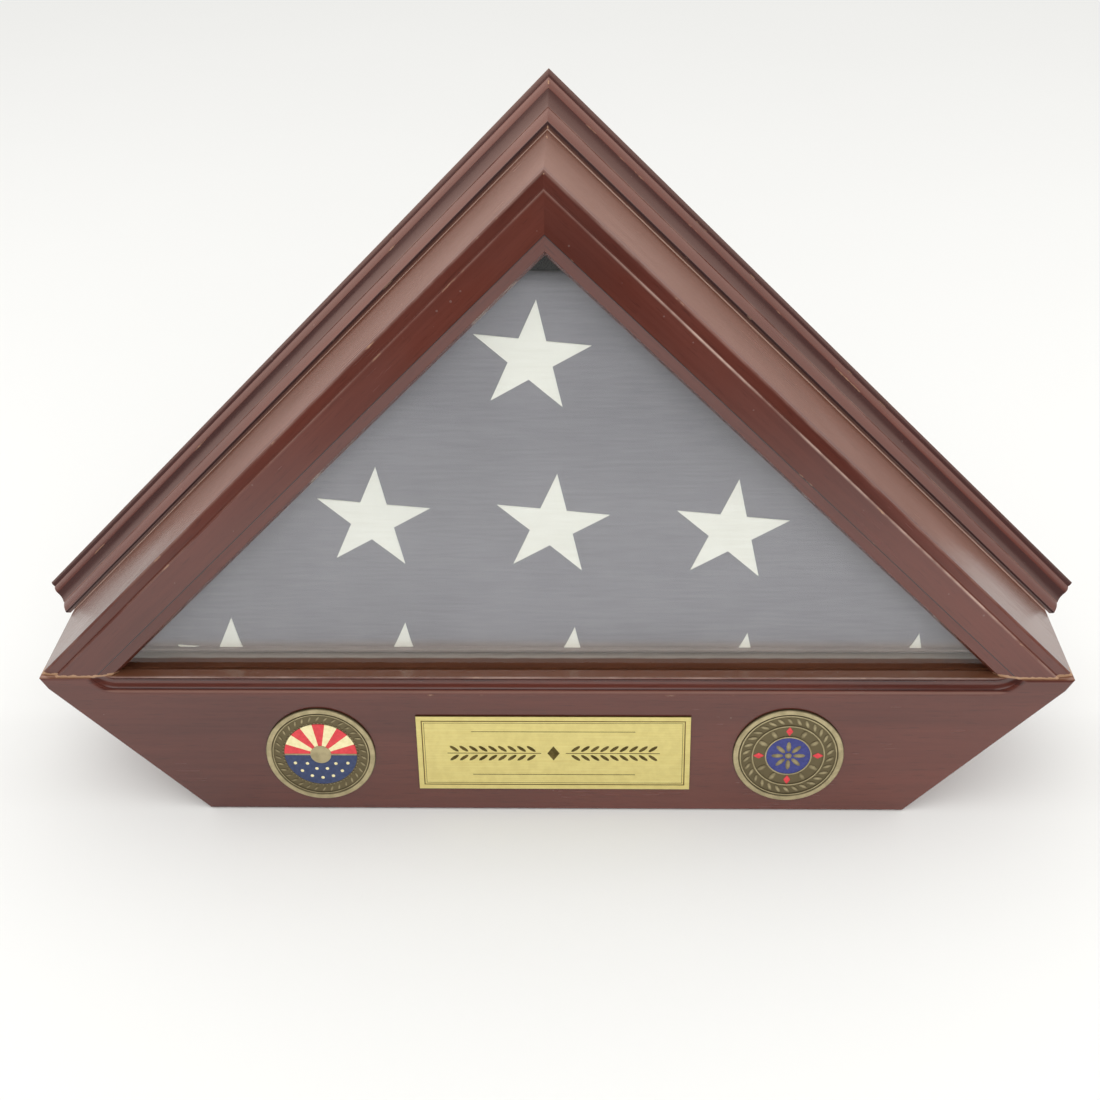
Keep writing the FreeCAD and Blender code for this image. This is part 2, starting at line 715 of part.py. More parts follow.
for label, hand in SIDES:
    tilt = FreeCAD.Rotation(Y_AXIS, hand * SLOPE_ANGLE)
    brad_tools = []
    for row in range(BRADS_PER_SLOPE):
        run = "(brad_inset + %d * brad_step)" % row
        name = "brad_%s_%d" % (label, row)
        x, z = over_slope(hand, run, "-brad_level")
        shaft = cylinder(name + "_shaft", "brad_radius", "stop_width + brad_grip", x, "brad_y", z, tilt)
        head_x, head_z = over_slope(hand, run, "-(brad_level + brad_head_height)")
        head = cylinder(name + "_head", "brad_head_radius", "brad_head_height",
                        head_x, "brad_y", head_z, tilt)
        brads.append(fuse(name, [shaft, head]))
        tool_x, tool_z = over_slope(hand, run, "-(brad_level + %s)" % CUTTER_MARGIN)
        brad_tools.append(cylinder(name + "_hole", "brad_radius + brad_fit",
                                   "stop_width + brad_grip + %s + dowel_end_gap" % CUTTER_MARGIN,
                                   tool_x, "brad_y", tool_z, tilt))

    dowel_tools = [cylinder("side_hole_%s_%d" % (label, row), "dowel_radius + dowel_fit",
                            "dowel_depth + dowel_end_gap", "%d * side_dowel_x" % hand,
                            "front_face + %s" % y, "base_height")
                   for row, y in enumerate(dowel_ys)]
    side_blank = sloped(label + "_side_blank", hand, side_section, "side_board + %s" % CUTTER_MARGIN)
    finish(cut(label + "_side", side_blank, dowel_tools + brad_tools), label + "_side_board")

    rail_blank = sloped(label + "_rail_blank", hand, rail_section, "rail_width + %s" % CUTTER_MARGIN,
                        rail_curves)
    rail_tool = cylinder("rail_hole_" + label, "rail_dowel_radius + dowel_fit",
                         "rail_dowel_depth + dowel_end_gap", "%d * rail_dowel_x" % hand,
                         "rail_dowel_y", "base_height")
    finish(cut(label + "_rail", rail_blank, [rail_tool]), label + "_front_rail")

    crown = sloped(label + "_crown", hand, crown_section, "crown_rise + %s" % CUTTER_MARGIN, crown_curves,
                   drop="crown_drop")
    finish(crown, label + "_crown_moulding")

    stop_blank = sloped(label + "_stop_blank", hand, stop_section, "brad_level + %s" % CUTTER_MARGIN)
    finish(cut(label + "_stop", stop_blank, brad_tools), label + "_glass_stop")
finish(group("stop_brads", brads), "stop_brads")

# Window and flag.
glass_outline = tent_outline("side_board + glass_edge_gap", "-glass_seat", "0", "glass_tip")
finish(board("glass_pane", glass_outline, "glass_thickness", "glass_front"), "glass_pane")

flag_outline = tent_outline("side_board + flag_side_gap", "0", "flag_corner", "flag_tip_cut")
folded_flag = board("folded_flag", flag_outline, "flag_thickness", "flag_front")
flag_faces = (0.0, number("flag_thickness"))
flag_pad = folded_flag.Tip


rounding = folded_flag.newObject("PartDesign::Fillet", "flag_rounding")
rounding.Base = (flag_pad, level_edges(flag_pad, flag_faces))
bind(rounding, "Radius", "flag_round")
doc.recompute()
finish(folded_flag, "folded_flag")

# Back door, closed against the back edges of the side boards.
door_outline = tent_outline("door_margin", "door_bottom_gap", "door_corner", "door_top_cut")
back_panel = board("back_panel", door_outline, "door_thickness", "door_front")
strike_xs = ["%d * strike_screw_pitch / 2" % hand for label, hand in SIDES]
door_pilots = new_sketch(back_panel, "door_screw_pilots", "XZ_Plane", "-door_thickness")
draw_circles(door_pilots, [(x, "hinge_z + screw_drop") for x in screw_xs], "screw_radius + screw_fit")
pocket(back_panel, door_pilots, "door_screw_length - leaf_thickness + screw_fit", reverse=True)
strike_pilots = new_sketch(back_panel, "strike_screw_pilots", "XZ_Plane")
draw_circles(strike_pilots, [(x, "catch_z") for x in strike_xs], "strike_screw_radius + screw_fit")
pocket(back_panel, strike_pilots, "strike_screw_length - strike_thickness + screw_fit")
knob_hole = new_sketch(back_panel, "knob_hole", "XZ_Plane")
draw_circles(knob_hole, [("0", "knob_z")], "screw_radius + screw_fit")
pocket(back_panel, knob_hole)
finish(back_panel, "back_panel")

lining_outline = tent_outline("side_board + lining_margin", "lining_low", "lining_corner",
                              "lining_tip_cut")
finish(board("door_lining", lining_outline, "lining_thickness", "door_front - lining_thickness"),
       "door_lining")

for (label, hand), x in zip(SIDES, hinge_centres):
    finish(hinge_leaf(label + "_base_leaf", x, False), label + "_hinge_base_leaf")
    finish(hinge_leaf(label + "_door_leaf", x, True), label + "_hinge_door_leaf")
    finish(hinge_pin(label + "_pin", x), label + "_hinge_pin")

base_screws = [screw("base_screw_%d" % index, "screw_radius", "screw_head_radius", "base_screw_length",
                     x, "leaf_face", "hinge_z - screw_drop", TO_FRONT)
               for index, x in enumerate(screw_xs)]
finish(group("hinge_base_screws", base_screws), "hinge_base_screws")
door_screws = [screw("door_screw_%d" % index, "screw_radius", "screw_head_radius", "door_screw_length",
                     x, "leaf_face", "hinge_z + screw_drop", TO_FRONT)
               for index, x in enumerate(screw_xs)]
finish(group("hinge_door_screws", door_screws), "hinge_door_screws")

# Magnetic catch in the top corner.
block_outline = [("-block_drop", "block_foot"), ("block_drop", "block_foot"), ("0", "inner_apex")]
apex_block = board("apex_block", block_outline, "block_depth", "block_back - block_depth")
magnet_hole = new_sketch(apex_block, "magnet_hole", "XZ_Plane", "-block_depth")
draw_circles(magnet_hole, [("0", "catch_z")], "magnet_radius + magnet_fit")
pocket(apex_block, magnet_hole, "magnet_length", reverse=True)
finish(apex_block, "apex_block")
finish(cylinder("catch_magnet", "magnet_radius", "magnet_length", "0", "block_back - magnet_length",
                "catch_z", TO_BACK), "catch_magnet")

strike_right = [("strike_width / 2", "catch_z - strike_height / 2"),
                ("strike_width / 2", "catch_z + strike_height / 2")]
strike_face = "door_front - strike_thickness"
strike = board("strike_blank", strike_right + mirrored_outline(strike_right)[::-1], "strike_thickness",
               strike_face)
strike_holes = new_sketch(strike, "strike_holes", "XZ_Plane")
draw_circles(strike_holes, [(x, "catch_z") for x in strike_xs], "strike_screw_radius + screw_fit")
pocket(strike, strike_holes)
sinks = [cone("strike_sink_%d" % index, "strike_screw_head + screw_fit", "strike_screw_radius + screw_fit",
              "strike_sink", x, strike_face, "catch_z", TO_BACK)
         for index, x in enumerate(strike_xs)]
finish(cut("strike_sunk", strike, sinks), "strike_plate")
strike_screws = [screw("strike_screw_%d" % index, "strike_screw_radius", "strike_screw_head",
                       "strike_screw_length", x, strike_face, "catch_z", TO_BACK, "strike_sink")
                 for index, x in enumerate(strike_xs)]
finish(group("strike_screws", strike_screws), "strike_screws")

# Knob of the door, turned, with a blind bore for its screw.
door_knob = new_body("door_knob")
knob_section = new_sketch(door_knob, "knob_section", "YZ_Plane")
draw_outline(knob_section, [("0", "0"), ("knob_height", "0"), ("knob_height", "knob_neck"),
                            ("knob_neck_length", "knob_radius"), ("knob_neck_length", "knob_neck"),
                            ("0", "knob_neck")], {2: (BEAD_CURVE, 1)})
revolve(door_knob, knob_section)
knob_bore = new_sketch(door_knob, "knob_bore", "XZ_Plane")
draw_circles(knob_bore, [("0", "0")], "screw_radius + screw_fit")
pocket(door_knob, knob_bore, "knob_screw_length - door_thickness + knob_bore_gap")
place(door_knob, "0", "door_back", "knob_z")
finish(door_knob, "door_knob")
finish(screw("knob_screw", "screw_radius", "screw_head_radius", "knob_screw_length",
             "0", "door_front", "knob_z", TO_BACK), "knob_screw")

# Medallions let into the base front, and the plate between them.
coin_section = [("coin_recess", "0"), ("coin_recess", "coin_radius"),
                ("coin_edge - coin_proud", "coin_radius"), ("-coin_proud", "coin_radius - coin_edge"),
                ("-coin_proud", "coin_field_radius"),
                ("coin_field - coin_proud", "coin_field_radius - coin_field"),
                ("coin_field - coin_proud", "0")]
for (label, hand), (x, z) in zip(SIDES, coin_centres):
    medallion = new_body(label + "_medallion")
    turned = new_sketch(medallion, label + "_medallion_section", "YZ_Plane")
    draw_outline(turned, coin_section)
    revolve(medallion, turned)
    place(medallion, x, "front_face", z)
    finish(medallion, label + "_medallion")

plate_right = [("plate_width / 2", "plate_level - plate_height / 2"),
               ("plate_width / 2", "plate_level + plate_height / 2")]
name_plate = board("name_plate", plate_right + mirrored_outline(plate_right)[::-1], "plate_thickness",
                   "front_face - plate_thickness")
bevel_front(name_plate, "plate_edge")
finish(name_plate, "name_plate")

doc.recompute()
faults = [item.Name for item in doc.Objects if {"Invalid", "Error"} & set(item.State)]
faults += [item.Label for item in finished if item.Shape.isNull() or not item.Shape.isValid()]
if faults:
    raise ValueError("not built: " + ", ".join(faults))

os.makedirs("parts", exist_ok=True)
for item in finished:
    item.Shape.exportStep("parts/%s.step" % item.Label)
    reach = item.Shape.BoundBox
    print("%-26s %d solids %10.1f mm3  y %7.2f to %7.2f  z %7.2f to %7.2f" % (
        item.Label, len(item.Shape.Solids), item.Shape.Volume,
        reach.YMin, reach.YMax, reach.ZMin, reach.ZMax))
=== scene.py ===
import bmesh
import bpy
import math
from mathutils import Matrix, Vector


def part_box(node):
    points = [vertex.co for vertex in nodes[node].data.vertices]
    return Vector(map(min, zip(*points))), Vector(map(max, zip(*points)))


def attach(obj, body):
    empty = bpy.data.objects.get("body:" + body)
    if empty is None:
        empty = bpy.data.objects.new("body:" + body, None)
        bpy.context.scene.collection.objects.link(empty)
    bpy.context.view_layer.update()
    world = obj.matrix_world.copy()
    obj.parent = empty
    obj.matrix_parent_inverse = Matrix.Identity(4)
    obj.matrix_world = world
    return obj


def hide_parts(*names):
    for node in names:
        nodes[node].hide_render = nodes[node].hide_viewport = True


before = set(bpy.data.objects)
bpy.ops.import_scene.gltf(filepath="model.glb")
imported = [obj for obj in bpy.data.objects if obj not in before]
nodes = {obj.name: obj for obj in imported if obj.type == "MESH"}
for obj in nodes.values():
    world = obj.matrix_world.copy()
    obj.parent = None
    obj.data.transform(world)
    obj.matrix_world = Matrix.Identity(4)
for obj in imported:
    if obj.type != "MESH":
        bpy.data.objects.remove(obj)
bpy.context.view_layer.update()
MM = 0.001

# Places of the case that the finishes follow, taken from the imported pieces.
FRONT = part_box("base_front")[0].y
BASE_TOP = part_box("base_back")[1].z
HALF_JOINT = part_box("base_back")[1].x
# Height of the base's slanting ends.
END_RISE = 62.0 * MM
HALF_BOTTOM = HALF_JOINT - END_RISE
SLOPE_SUM = BASE_TOP + HALF_JOINT
HALF_ROOT = math.sqrt(0.5)
FLAG_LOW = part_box("folded_flag")[0]
COIN_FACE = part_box("left_medallion")[0].y
COIN_RECESS = 0.5 * MM
COIN_FIELD = COIN_FACE + COIN_RECESS
FACING_FRONT = (math.pi / 2, 0.0, 0.0)


# Camera and light

CAMERA_PLACE = (0.020445, -0.607007, 0.444067)
CAMERA_TURNS = (29.469, -2.058, 1.043)
SENSOR_WIDTH = 36.0
FOCAL_PIXELS = 1724.19
PHOTO_PIXELS = 1100.0
NEAREST_SEEN = 0.01


def photo_camera():
    """The camera where the photograph was taken from."""
    pitch, yaw, roll = (math.radians(turn) for turn in CAMERA_TURNS)
    forward = Vector((math.sin(yaw) * math.cos(pitch), math.cos(yaw) * math.cos(pitch), -math.sin(pitch)))
    level = Vector((math.cos(yaw), -math.sin(yaw), 0.0))
    under = forward.cross(level)
    right = level * math.cos(roll) + under * math.sin(roll)
    down = under * math.cos(roll) - level * math.sin(roll)
    turn = Matrix((right, -down, -forward)).transposed().to_4x4()
    bpy.ops.object.camera_add()
    camera = bpy.context.object
    camera.matrix_world = Matrix.Translation(CAMERA_PLACE) @ turn
    camera.data.sensor_width = SENSOR_WIDTH
    camera.data.lens = SENSOR_WIDTH * FOCAL_PIXELS / PHOTO_PIXELS
    camera.data.clip_start = NEAREST_SEEN
    bpy.context.scene.camera = camera


def soft_light(name, place, aim, size, power, tint, mirrored=True):
    """A large soft lamp, turned to a point, that gloss may or may not mirror."""
    bpy.ops.object.light_add(type="AREA", location=place)
    lamp = bpy.context.object
    lamp.name = name
    lamp.rotation_euler = (Vector(aim) - Vector(place)).to_track_quat("-Z", "Y").to_euler()
    lamp.data.size = size
    lamp.data.energy = power
    lamp.data.color = tint
    lamp.visible_glossy = mirrored


CARD_BLACK = (0.01, 0.01, 0.01, 1.0)
WALL_LOW = (0.74, 0.54, 0.49, 1.0)
WALL_HIGH = (1.35, 0.95, 0.82, 1.0)
WALL_SHADE = (0.78, 0.78, 0.78, 1.0)


def gloss_card(name, place, width, height):
    """An upright card that only gloss mirrors, with its shader and the place on it."""
    fresh()
    bpy.ops.mesh.primitive_plane_add(size=1.0, location=place, rotation=FACING_FRONT)
    card = just_added(name, (width, height, 1.0))
    material, tree, shader, spot = new_material(name)
    feed(tree, shader, {"Base Color": CARD_BLACK, "Roughness": 1.0})
    card.data.materials.append(material)
    card.visible_camera = False
    card.visible_diffuse = False
    card.visible_transmission = False
    card.visible_shadow = False
    return tree, shader, list(parts_of(tree, spot))


def dark_card(place, width, height):
    """The unlit room in front of the case, which fades toward the floor and the ceiling."""
    tree, shader, (_, _, level) = gloss_card("dark_card", place, width, height)
    solid = times(tree, step_between(tree, level, 0.0, height / 3),
                  step_between(tree, times(tree, level, -1.0), -height, -height * 0.8))
    feed(tree, shader, {"Alpha": solid})


def warm_card(place, width, height):
    """The warm wall behind the case, brighter higher up and on the left."""
    tree, shader, (across, _, level) = gloss_card("warm_card", place, width, height)
    glow = mixed(tree, step_between(tree, level, 0.05, 0.5), WALL_LOW, WALL_HIGH)
    glow = mixed(tree, step_between(tree, across, -0.4, 0.5), glow, WALL_SHADE, "MULTIPLY")
    feed(tree, shader, {"Emission Color": glow, "Emission Strength": 1.0})


# Shader nodes

def feed(tree, node, values):
    """Link or set inputs of a node."""
    for key, value in values.items():
        if isinstance(value, bpy.types.NodeSocket):
            tree.links.new(value, node.inputs[key])
        else:
            node.inputs[key].default_value = value


def put(tree, kind, values, **settings):
    """Add a node, set its options, and link or set its inputs."""
    node = tree.nodes.new(kind)
    for name, value in settings.items():
        setattr(node, name, value)
    feed(tree, node, values)
    return node


def maths(tree, operation, a, b=0.0, clamp=False):
    return put(tree, "ShaderNodeMath", {0: a, 1: b}, operation=operation, use_clamp=clamp).outputs[0]


def times(tree, a, b, clamp=False):
    return maths(tree, "MULTIPLY", a, b, clamp)


def minus(tree, a, b, clamp=False):
    return maths(tree, "SUBTRACT", a, b, clamp)


def weighted(tree, *shares):
    """The sum of some values, each times its share."""
    total = None
    for value, share in shares:
        part = times(tree, value, share)
        total = part if total is None else maths(tree, "ADD", total, part)
    return total


def lifted(tree, value, share, start):
    """A value times its share, added to a start."""
    return maths(tree, "ADD", times(tree, value, share), start)


def highest(tree, first, *others):
    for other in others:
        first = maths(tree, "MAXIMUM", first, other)
    return first


def mixed(tree, factor, a, b, blend="MIX"):
    values = {0: factor, 6: a, 7: b}
    return put(tree, "ShaderNodeMix", values, data_type="RGBA", blend_type=blend).outputs[2]


def step_between(tree, value, low, high):
    """Rise smoothly from 0 at low to 1 at high."""
    values = {"Value": value, "From Min": low, "From Max": high}
    return put(tree, "ShaderNodeMapRange", values, interpolation_type="SMOOTHSTEP").outputs[0]


def noise(tree, vector, scale, detail=2.0, roughness=0.5):
    values = {"Vector": vector, "Scale": scale, "Detail": detail, "Roughness": roughness}
    return put(tree, "ShaderNodeTexNoise", values).outputs[0]


def stretched(tree, vector, scale):
    return put(tree, "ShaderNodeVectorMath", {0: vector, 1: scale}, operation="MULTIPLY").outputs[0]


def parts_of(tree, vector):
    return put(tree, "ShaderNodeSeparateXYZ", {0: vector}).outputs


def joined(tree, x, y, z):
    return put(tree, "ShaderNodeCombineXYZ", {0: x, 1: y, 2: z}).outputs[0]


def distance(tree, here, there):
    return put(tree, "ShaderNodeVectorMath", {0: here, 1: there}, operation="DISTANCE").outputs["Value"]


def line_distance(tree, places, lines):
    """Distance to the nearest of some long edges, each given by its place in a section."""
    nearest = None
    for (across, up), (line_across, line_up) in zip(places, lines):
        gap = distance(tree, joined(tree, across, up, 0.0), (line_across, line_up, 0.0))
        nearest = gap if nearest is None else maths(tree, "MINIMUM", nearest, gap)
    return nearest


VECTOR, VALUE = "NodeSocketVector", "NodeSocketFloat"


def new_group(name, gives, kind=VALUE, **takes):
    """An empty shader group that takes a vector and some values, and gives outputs of one kind."""
    tree = bpy.data.node_groups.new(name, "ShaderNodeTree")
    tree.interface.new_socket("Vector", in_out="INPUT", socket_type=VECTOR)
    for label, start in takes.items():
        tree.interface.new_socket(label, in_out="INPUT", socket_type=VALUE).default_value = start
    for label in gives:
        tree.interface.new_socket(label, in_out="OUTPUT", socket_type=kind)
    return tree, tree.nodes.new("NodeGroupInput").outputs, tree.nodes.new("NodeGroupOutput")


def placed(tree, group, values):
    return put(tree, "ShaderNodeGroup", values, node_tree=group).outputs


# Keeps the right slope's grain from repeating the left one's.
SIDE_SHIFT = 0.37
# How fast patterns change along and across wood grain, scratches, threads and brushing, per metre.
FIGURE_RATE = (4.0, 55.0, 55.0)
CLOUD_RATE = (9.0, 16.0, 16.0)
FIBRE_RATE = (28.0, 900.0, 900.0)
PORE_RATE = (110.0, 2200.0, 2200.0)
SCRATCH_RATE = (180.0, 4200.0, 4200.0)
SLUB_RATE = (60.0, 900.0, 900.0)
BRUSH_RATE = (40.0, 3000.0, 6000.0)


def slope_place_group():
    """Turns a place on the case into run along its slope, depth, and height over the slope."""
    tree, takes, gives = new_group("slope_place", ["Vector"], VECTOR)
    x, y, z = parts_of(tree, takes["Vector"])
    out = maths(tree, "ABSOLUTE", x)
    run = times(tree, minus(tree, z, out), HALF_ROOT)
    side = times(tree, maths(tree, "SIGN", x), SIDE_SHIFT)
    total = minus(tree, maths(tree, "ADD", z, out), SLOPE_SUM)
    height = times(tree, total, HALF_ROOT)
    feed(tree, gives, {"Vector": joined(tree, maths(tree, "ADD", run, side), y, height)})
    return tree


def wood_grain_group():
    """Figure, fine fibres and pores of wood whose grain runs along X."""
    tree, takes, gives = new_group("wood_grain", ["Figure", "Fibre", "Pores"])
    grain = takes["Vector"]
    broad = noise(tree, stretched(tree, grain, FIGURE_RATE), 1.0, 3.0, 0.55)
    cloudy = noise(tree, stretched(tree, grain, CLOUD_RATE), 1.0, 2.0)
    figure = weighted(tree, (broad, 0.65), (cloudy, 0.35))
    fibre = noise(tree, stretched(tree, grain, FIBRE_RATE), 1.0, 3.0, 0.6)
    streak = noise(tree, stretched(tree, grain, PORE_RATE), 1.0, 1.0)
    feed(tree, gives, {"Figure": step_between(tree, figure, 0.3, 0.7),
                       "Fibre": step_between(tree, fibre, 0.25, 0.75),
                       "Pores": step_between(tree, streak, 0.62, 0.72)})
    return tree


def worn_edge_group():
    """Broken wear along edges, from the distance to the nearest edge."""
    tree, takes, gives = new_group("worn_edge", ["Mask"], Distance=1.0, Reach=0.8 * MM, Amount=0.5)
    ragged = noise(tree, takes["Vector"], 900.0, 3.0)
    patchy = noise(tree, takes["Vector"], 55.0, 3.0, 0.6)
    reach = times(tree, takes["Reach"], times(tree, ragged, 2.0))
    near = minus(tree, 1.0, maths(tree, "DIVIDE", takes["Distance"], reach), clamp=True)
    excess = minus(tree, patchy, minus(tree, 1.0, takes["Amount"]))
    patch = times(tree, excess, 9.0, clamp=True)
    feed(tree, gives, {"Mask": times(tree, step_between(tree, near, 0.0, 0.35), patch)})
    return tree


def dust_group():
    """Fine specks and a cloudy film of dust."""
    tree, takes, gives = new_group("dust", ["Specks", "Film"])
    cells = put(tree, "ShaderNodeTexVoronoi", {"Vector": takes["Vector"], "Scale": 210.0})
    draw, luck, _ = parts_of(tree, cells.outputs["Color"])
    picked = maths(tree, "GREATER_THAN", luck, 0.78)
    speck = maths(tree, "LESS_THAN", cells.outputs["Distance"], times(tree, draw, 0.1))
    cloud = noise(tree, takes["Vector"], 14.0, 4.0, 0.6)
    feed(tree, gives, {"Specks": times(tree, speck, picked), "Film": step_between(tree, cloud, 0.35, 0.72)})
    return tree


def tarnish_group():
    """Blotches of tarnish and fine handling scratches on metal."""
    tree, takes, gives = new_group("tarnish", ["Blotches", "Scratches"])
    blotch = noise(tree, takes["Vector"], 240.0, 5.0, 0.62)
    fine = noise(tree, stretched(tree, takes["Vector"], SCRATCH_RATE), 1.0, 2.0)
    feed(tree, gives, {"Blotches": step_between(tree, blotch, 0.36, 0.66), "Scratches": fine})
    return tree


def weave_group():
    """Over and under threads of a plain weave that lies across X and Z."""
    tree, takes, gives = new_group("weave", ["Height", "Shade"], Threads=1400.0)
    x, y, z = parts_of(tree, takes["Vector"])
    rate = times(tree, takes["Threads"], math.pi)
    warp = maths(tree, "SINE", times(tree, x, rate))
    weft = maths(tree, "SINE", times(tree, maths(tree, "ADD", z, y), rate))
    crossing = times(tree, warp, weft)
    slub = noise(tree, stretched(tree, takes["Vector"], SLUB_RATE), 1.0, 2.0)
    cloud = noise(tree, takes["Vector"], 26.0, 3.0)
    feed(tree, gives, {"Height": times(tree, maths(tree, "ADD", crossing, 1.0), 0.5),
                       "Shade": weighted(tree, (slub, 0.5), (cloud, 0.5))})
    return tree


SLOPE_PLACE = slope_place_group()
WOOD_GRAIN = wood_grain_group()
WORN_EDGE = worn_edge_group()
DUST = dust_group()
TARNISH = tarnish_group()
WEAVE = weave_group()


def new_material(name):
    """A material with its Principled shader, and the place on the piece that its patterns follow."""
    material = bpy.data.materials.new(name)
    material.use_nodes = True
    tree = material.node_tree
    shader = tree.nodes["Principled BSDF"]
    place = tree.nodes.new("ShaderNodeTexCoord").outputs["Object"]
    return material, tree, shader, place


def raised(tree, shader, height, strength, depth):
    """Feed a height to the shader's normal."""
    values = {"Height": height, "Strength": strength, "Distance": depth}
    feed(tree, shader, {"Normal": put(tree, "ShaderNodeBump", values).outputs[0]})


RED_DARK = (0.064, 0.0145, 0.0095, 1.0)
RED_LIGHT = (0.120, 0.029, 0.0185, 1.0)
# Painted highlight on the rout's up-facing shoulder.
SHOULDER_HIGHLIGHT_RED = (0.40, 0.25, 0.20, 1.0)
# Painted highlights along edges and where the crown is glued to the roof.
PALE_GLINT = (0.72, 0.54, 0.45, 1.0)
# Painted shade in the rout's cove and quirk, on the crown's toe, cove and edge, and by the rail's lip.
PAINTED_SHADE_DARK = (0.026, 0.0095, 0.0095, 1.0)
# Painted light on the roof and on the top of the base's ledge.
LIT_TOP_TAN = (0.20, 0.085, 0.042, 1.0)
WORN_WOOD = (0.44, 0.255, 0.14, 1.0)
PORE_BROWN = (0.022, 0.007, 0.005, 1.0)
# Paler colour of the floor strip along the foot of the flag.
FOOT_STRIP_PALE = (0.42, 0.36, 0.31, 1.0)
SPECK_GREY = (0.5, 0.46, 0.42, 1.0)
# How far wear reaches from an edge, and how much of the edge it takes.
WEAR_REACH = 0.4 * MM
WEAR_AMOUNT = 0.37


def lacquered_wood(name, painted_light_of, edges_of, chips_of=None, on_slope=False):
    """Red-brown stained wood under satin lacquer, rubbed pale along its edges, with painted highlights
    along its edges and the painted light and shade of its section.
    """
    material, tree, shader, place = new_material(name)
    grain = placed(tree, SLOPE_PLACE, {"Vector": place})["Vector"] if on_slope else place
    figure, fibre, pores = placed(tree, WOOD_GRAIN, {"Vector": grain})
    colour = mixed(tree, weighted(tree, (figure, 0.78), (fibre, 0.22)), RED_DARK, RED_LIGHT)
    colour = mixed(tree, times(tree, pores, 0.3), colour, PORE_BROWN)
    # Painted light and shade of the wood's section.
    colour = painted_light_of(tree, place, grain, colour)
    gap, glint = edges_of(tree, place, grain)
    uneven = step_between(tree, noise(tree, place, 30.0, 4.0, 0.65), 0.32, 0.68)
    # Painted highlights along the edges.
    glinting = times(tree, glint, lifted(tree, uneven, 0.45, 0.1))
    colour = mixed(tree, glinting, colour, PALE_GLINT)
    rubbed = placed(tree, WORN_EDGE, {"Vector": place, "Distance": gap, "Reach": WEAR_REACH,
                                      "Amount": WEAR_AMOUNT})["Mask"]
    if chips_of:
        rubbed = highest(tree, rubbed, chips_of(tree, place))
    colour = mixed(tree, times(tree, rubbed, 0.8), colour, WORN_WOOD)
    specks, film = placed(tree, DUST, {"Vector": place})
    colour = mixed(tree, times(tree, specks, 0.1), colour, SPECK_GREY)
    rough = maths(tree, "ADD", weighted(tree, (fibre, 0.06), (film, 0.1), (rubbed, 0.3)), 0.14)
    feed(tree, shader, {"Base Color": colour, "Roughness": rough, "Specular IOR Level": 0.8})
    height = minus(tree, times(tree, fibre, 0.4), pores)
    height = minus(tree, height, rubbed)
    raised(tree, shader, height, 0.04, 0.2 * MM)
    return material


def ramp(tree, value, span):
    """Rise smoothly from 0 to 1 over a span in millimetres."""
    low, high = span
    return step_between(tree, value, low * MM, high * MM)


def within(tree, value, span, blur):
    """1 in a span in millimetres, falling to 0 outside it."""
    low, high = span
    rise = ramp(tree, value, (low - blur, low + blur))
    return minus(tree, rise, ramp(tree, value, (high - blur, high + blur)), clamp=True)


def edge_glint(tree, gap):
    """1 on an edge that gets a painted highlight, falling to 0 a millimetre away."""
    return ramp(tree, times(tree, gap, -1.0), (-1.0, -0.15))


# Spans of the rout along the base's top edge, in millimetres: its depth, and levels below the joint. Its
# cove and quirk get painted shade, and its shoulder a painted highlight.
ROUT_DEPTH = 1.9
ROUT_START = (0.05, 0.3)
ROUT_COVE = (0.5, 2.3)
ROUT_QUIRK = (4.75, 5.25)
ROUT_SHOULDER = (5.5, 7.2)
# The ledge in front of the rails, whose top gets painted light: the skin that counts as its top, and its
# depth.
LEDGE_SKIN = 0.05 * MM
LEDGE_DEPTH = 8.0 * MM


def base_painted_light(tree, place, grain, colour):
    """Painted shade in the cove and quirk of the rout, and painted light on its shoulder and on the ledge.
    """
    _, y, z = parts_of(tree, place)
    drop = minus(tree, BASE_TOP, z)
    routed = ramp(tree, minus(tree, y, FRONT), ROUT_START)
    # Painted shade in the rout's cove and quirk.
    low = highest(tree, within(tree, drop, ROUT_COVE, 0.3), within(tree, drop, ROUT_QUIRK, 0.15))
    patchy = step_between(tree, noise(tree, place, 45.0, 3.0, 0.6), 0.3, 0.7)
    dark = times(tree, times(tree, routed, low), lifted(tree, patchy, 0.4, 0.3))
    colour = mixed(tree, dark, colour, PAINTED_SHADE_DARK)
    # Painted highlight on the rout's shoulder.
    shoulder = times(tree, routed, within(tree, drop, ROUT_SHOULDER, 0.3))
    colour = mixed(tree, times(tree, shoulder, 0.3), colour, SHOULDER_HIGHLIGHT_RED)
    # Painted light on the top of the ledge.
    ledge = maths(tree, "LESS_THAN", drop, LEDGE_SKIN)
    ledge = times(tree, ledge, maths(tree, "LESS_THAN", y, FRONT + LEDGE_DEPTH))
    return mixed(tree, times(tree, ledge, 0.6), colour, LIT_TOP_TAN)


# Spans in millimetres behind the base front of the roof, which gets painted light, of the painted glint
# line where the crown is glued to the roof, and of the parts of the crown that get painted shade.
ROOF = (8.0, 54.0)
CROWN_GLINT_LINE = (51.8, 53.8)
CROWN_TOE = (53.95, 54.9)
CROWN_COVE = (63.0, 70.6)
CROWN_EDGE = (75.8, 76.3)
# Spans in millimetres over the slope where the toe's painted shade begins and of the painted shade line by
# the rail's lip.
TOE_START = (0.1, 0.4)
RAIL_LIP = (-16.1, -15.5)


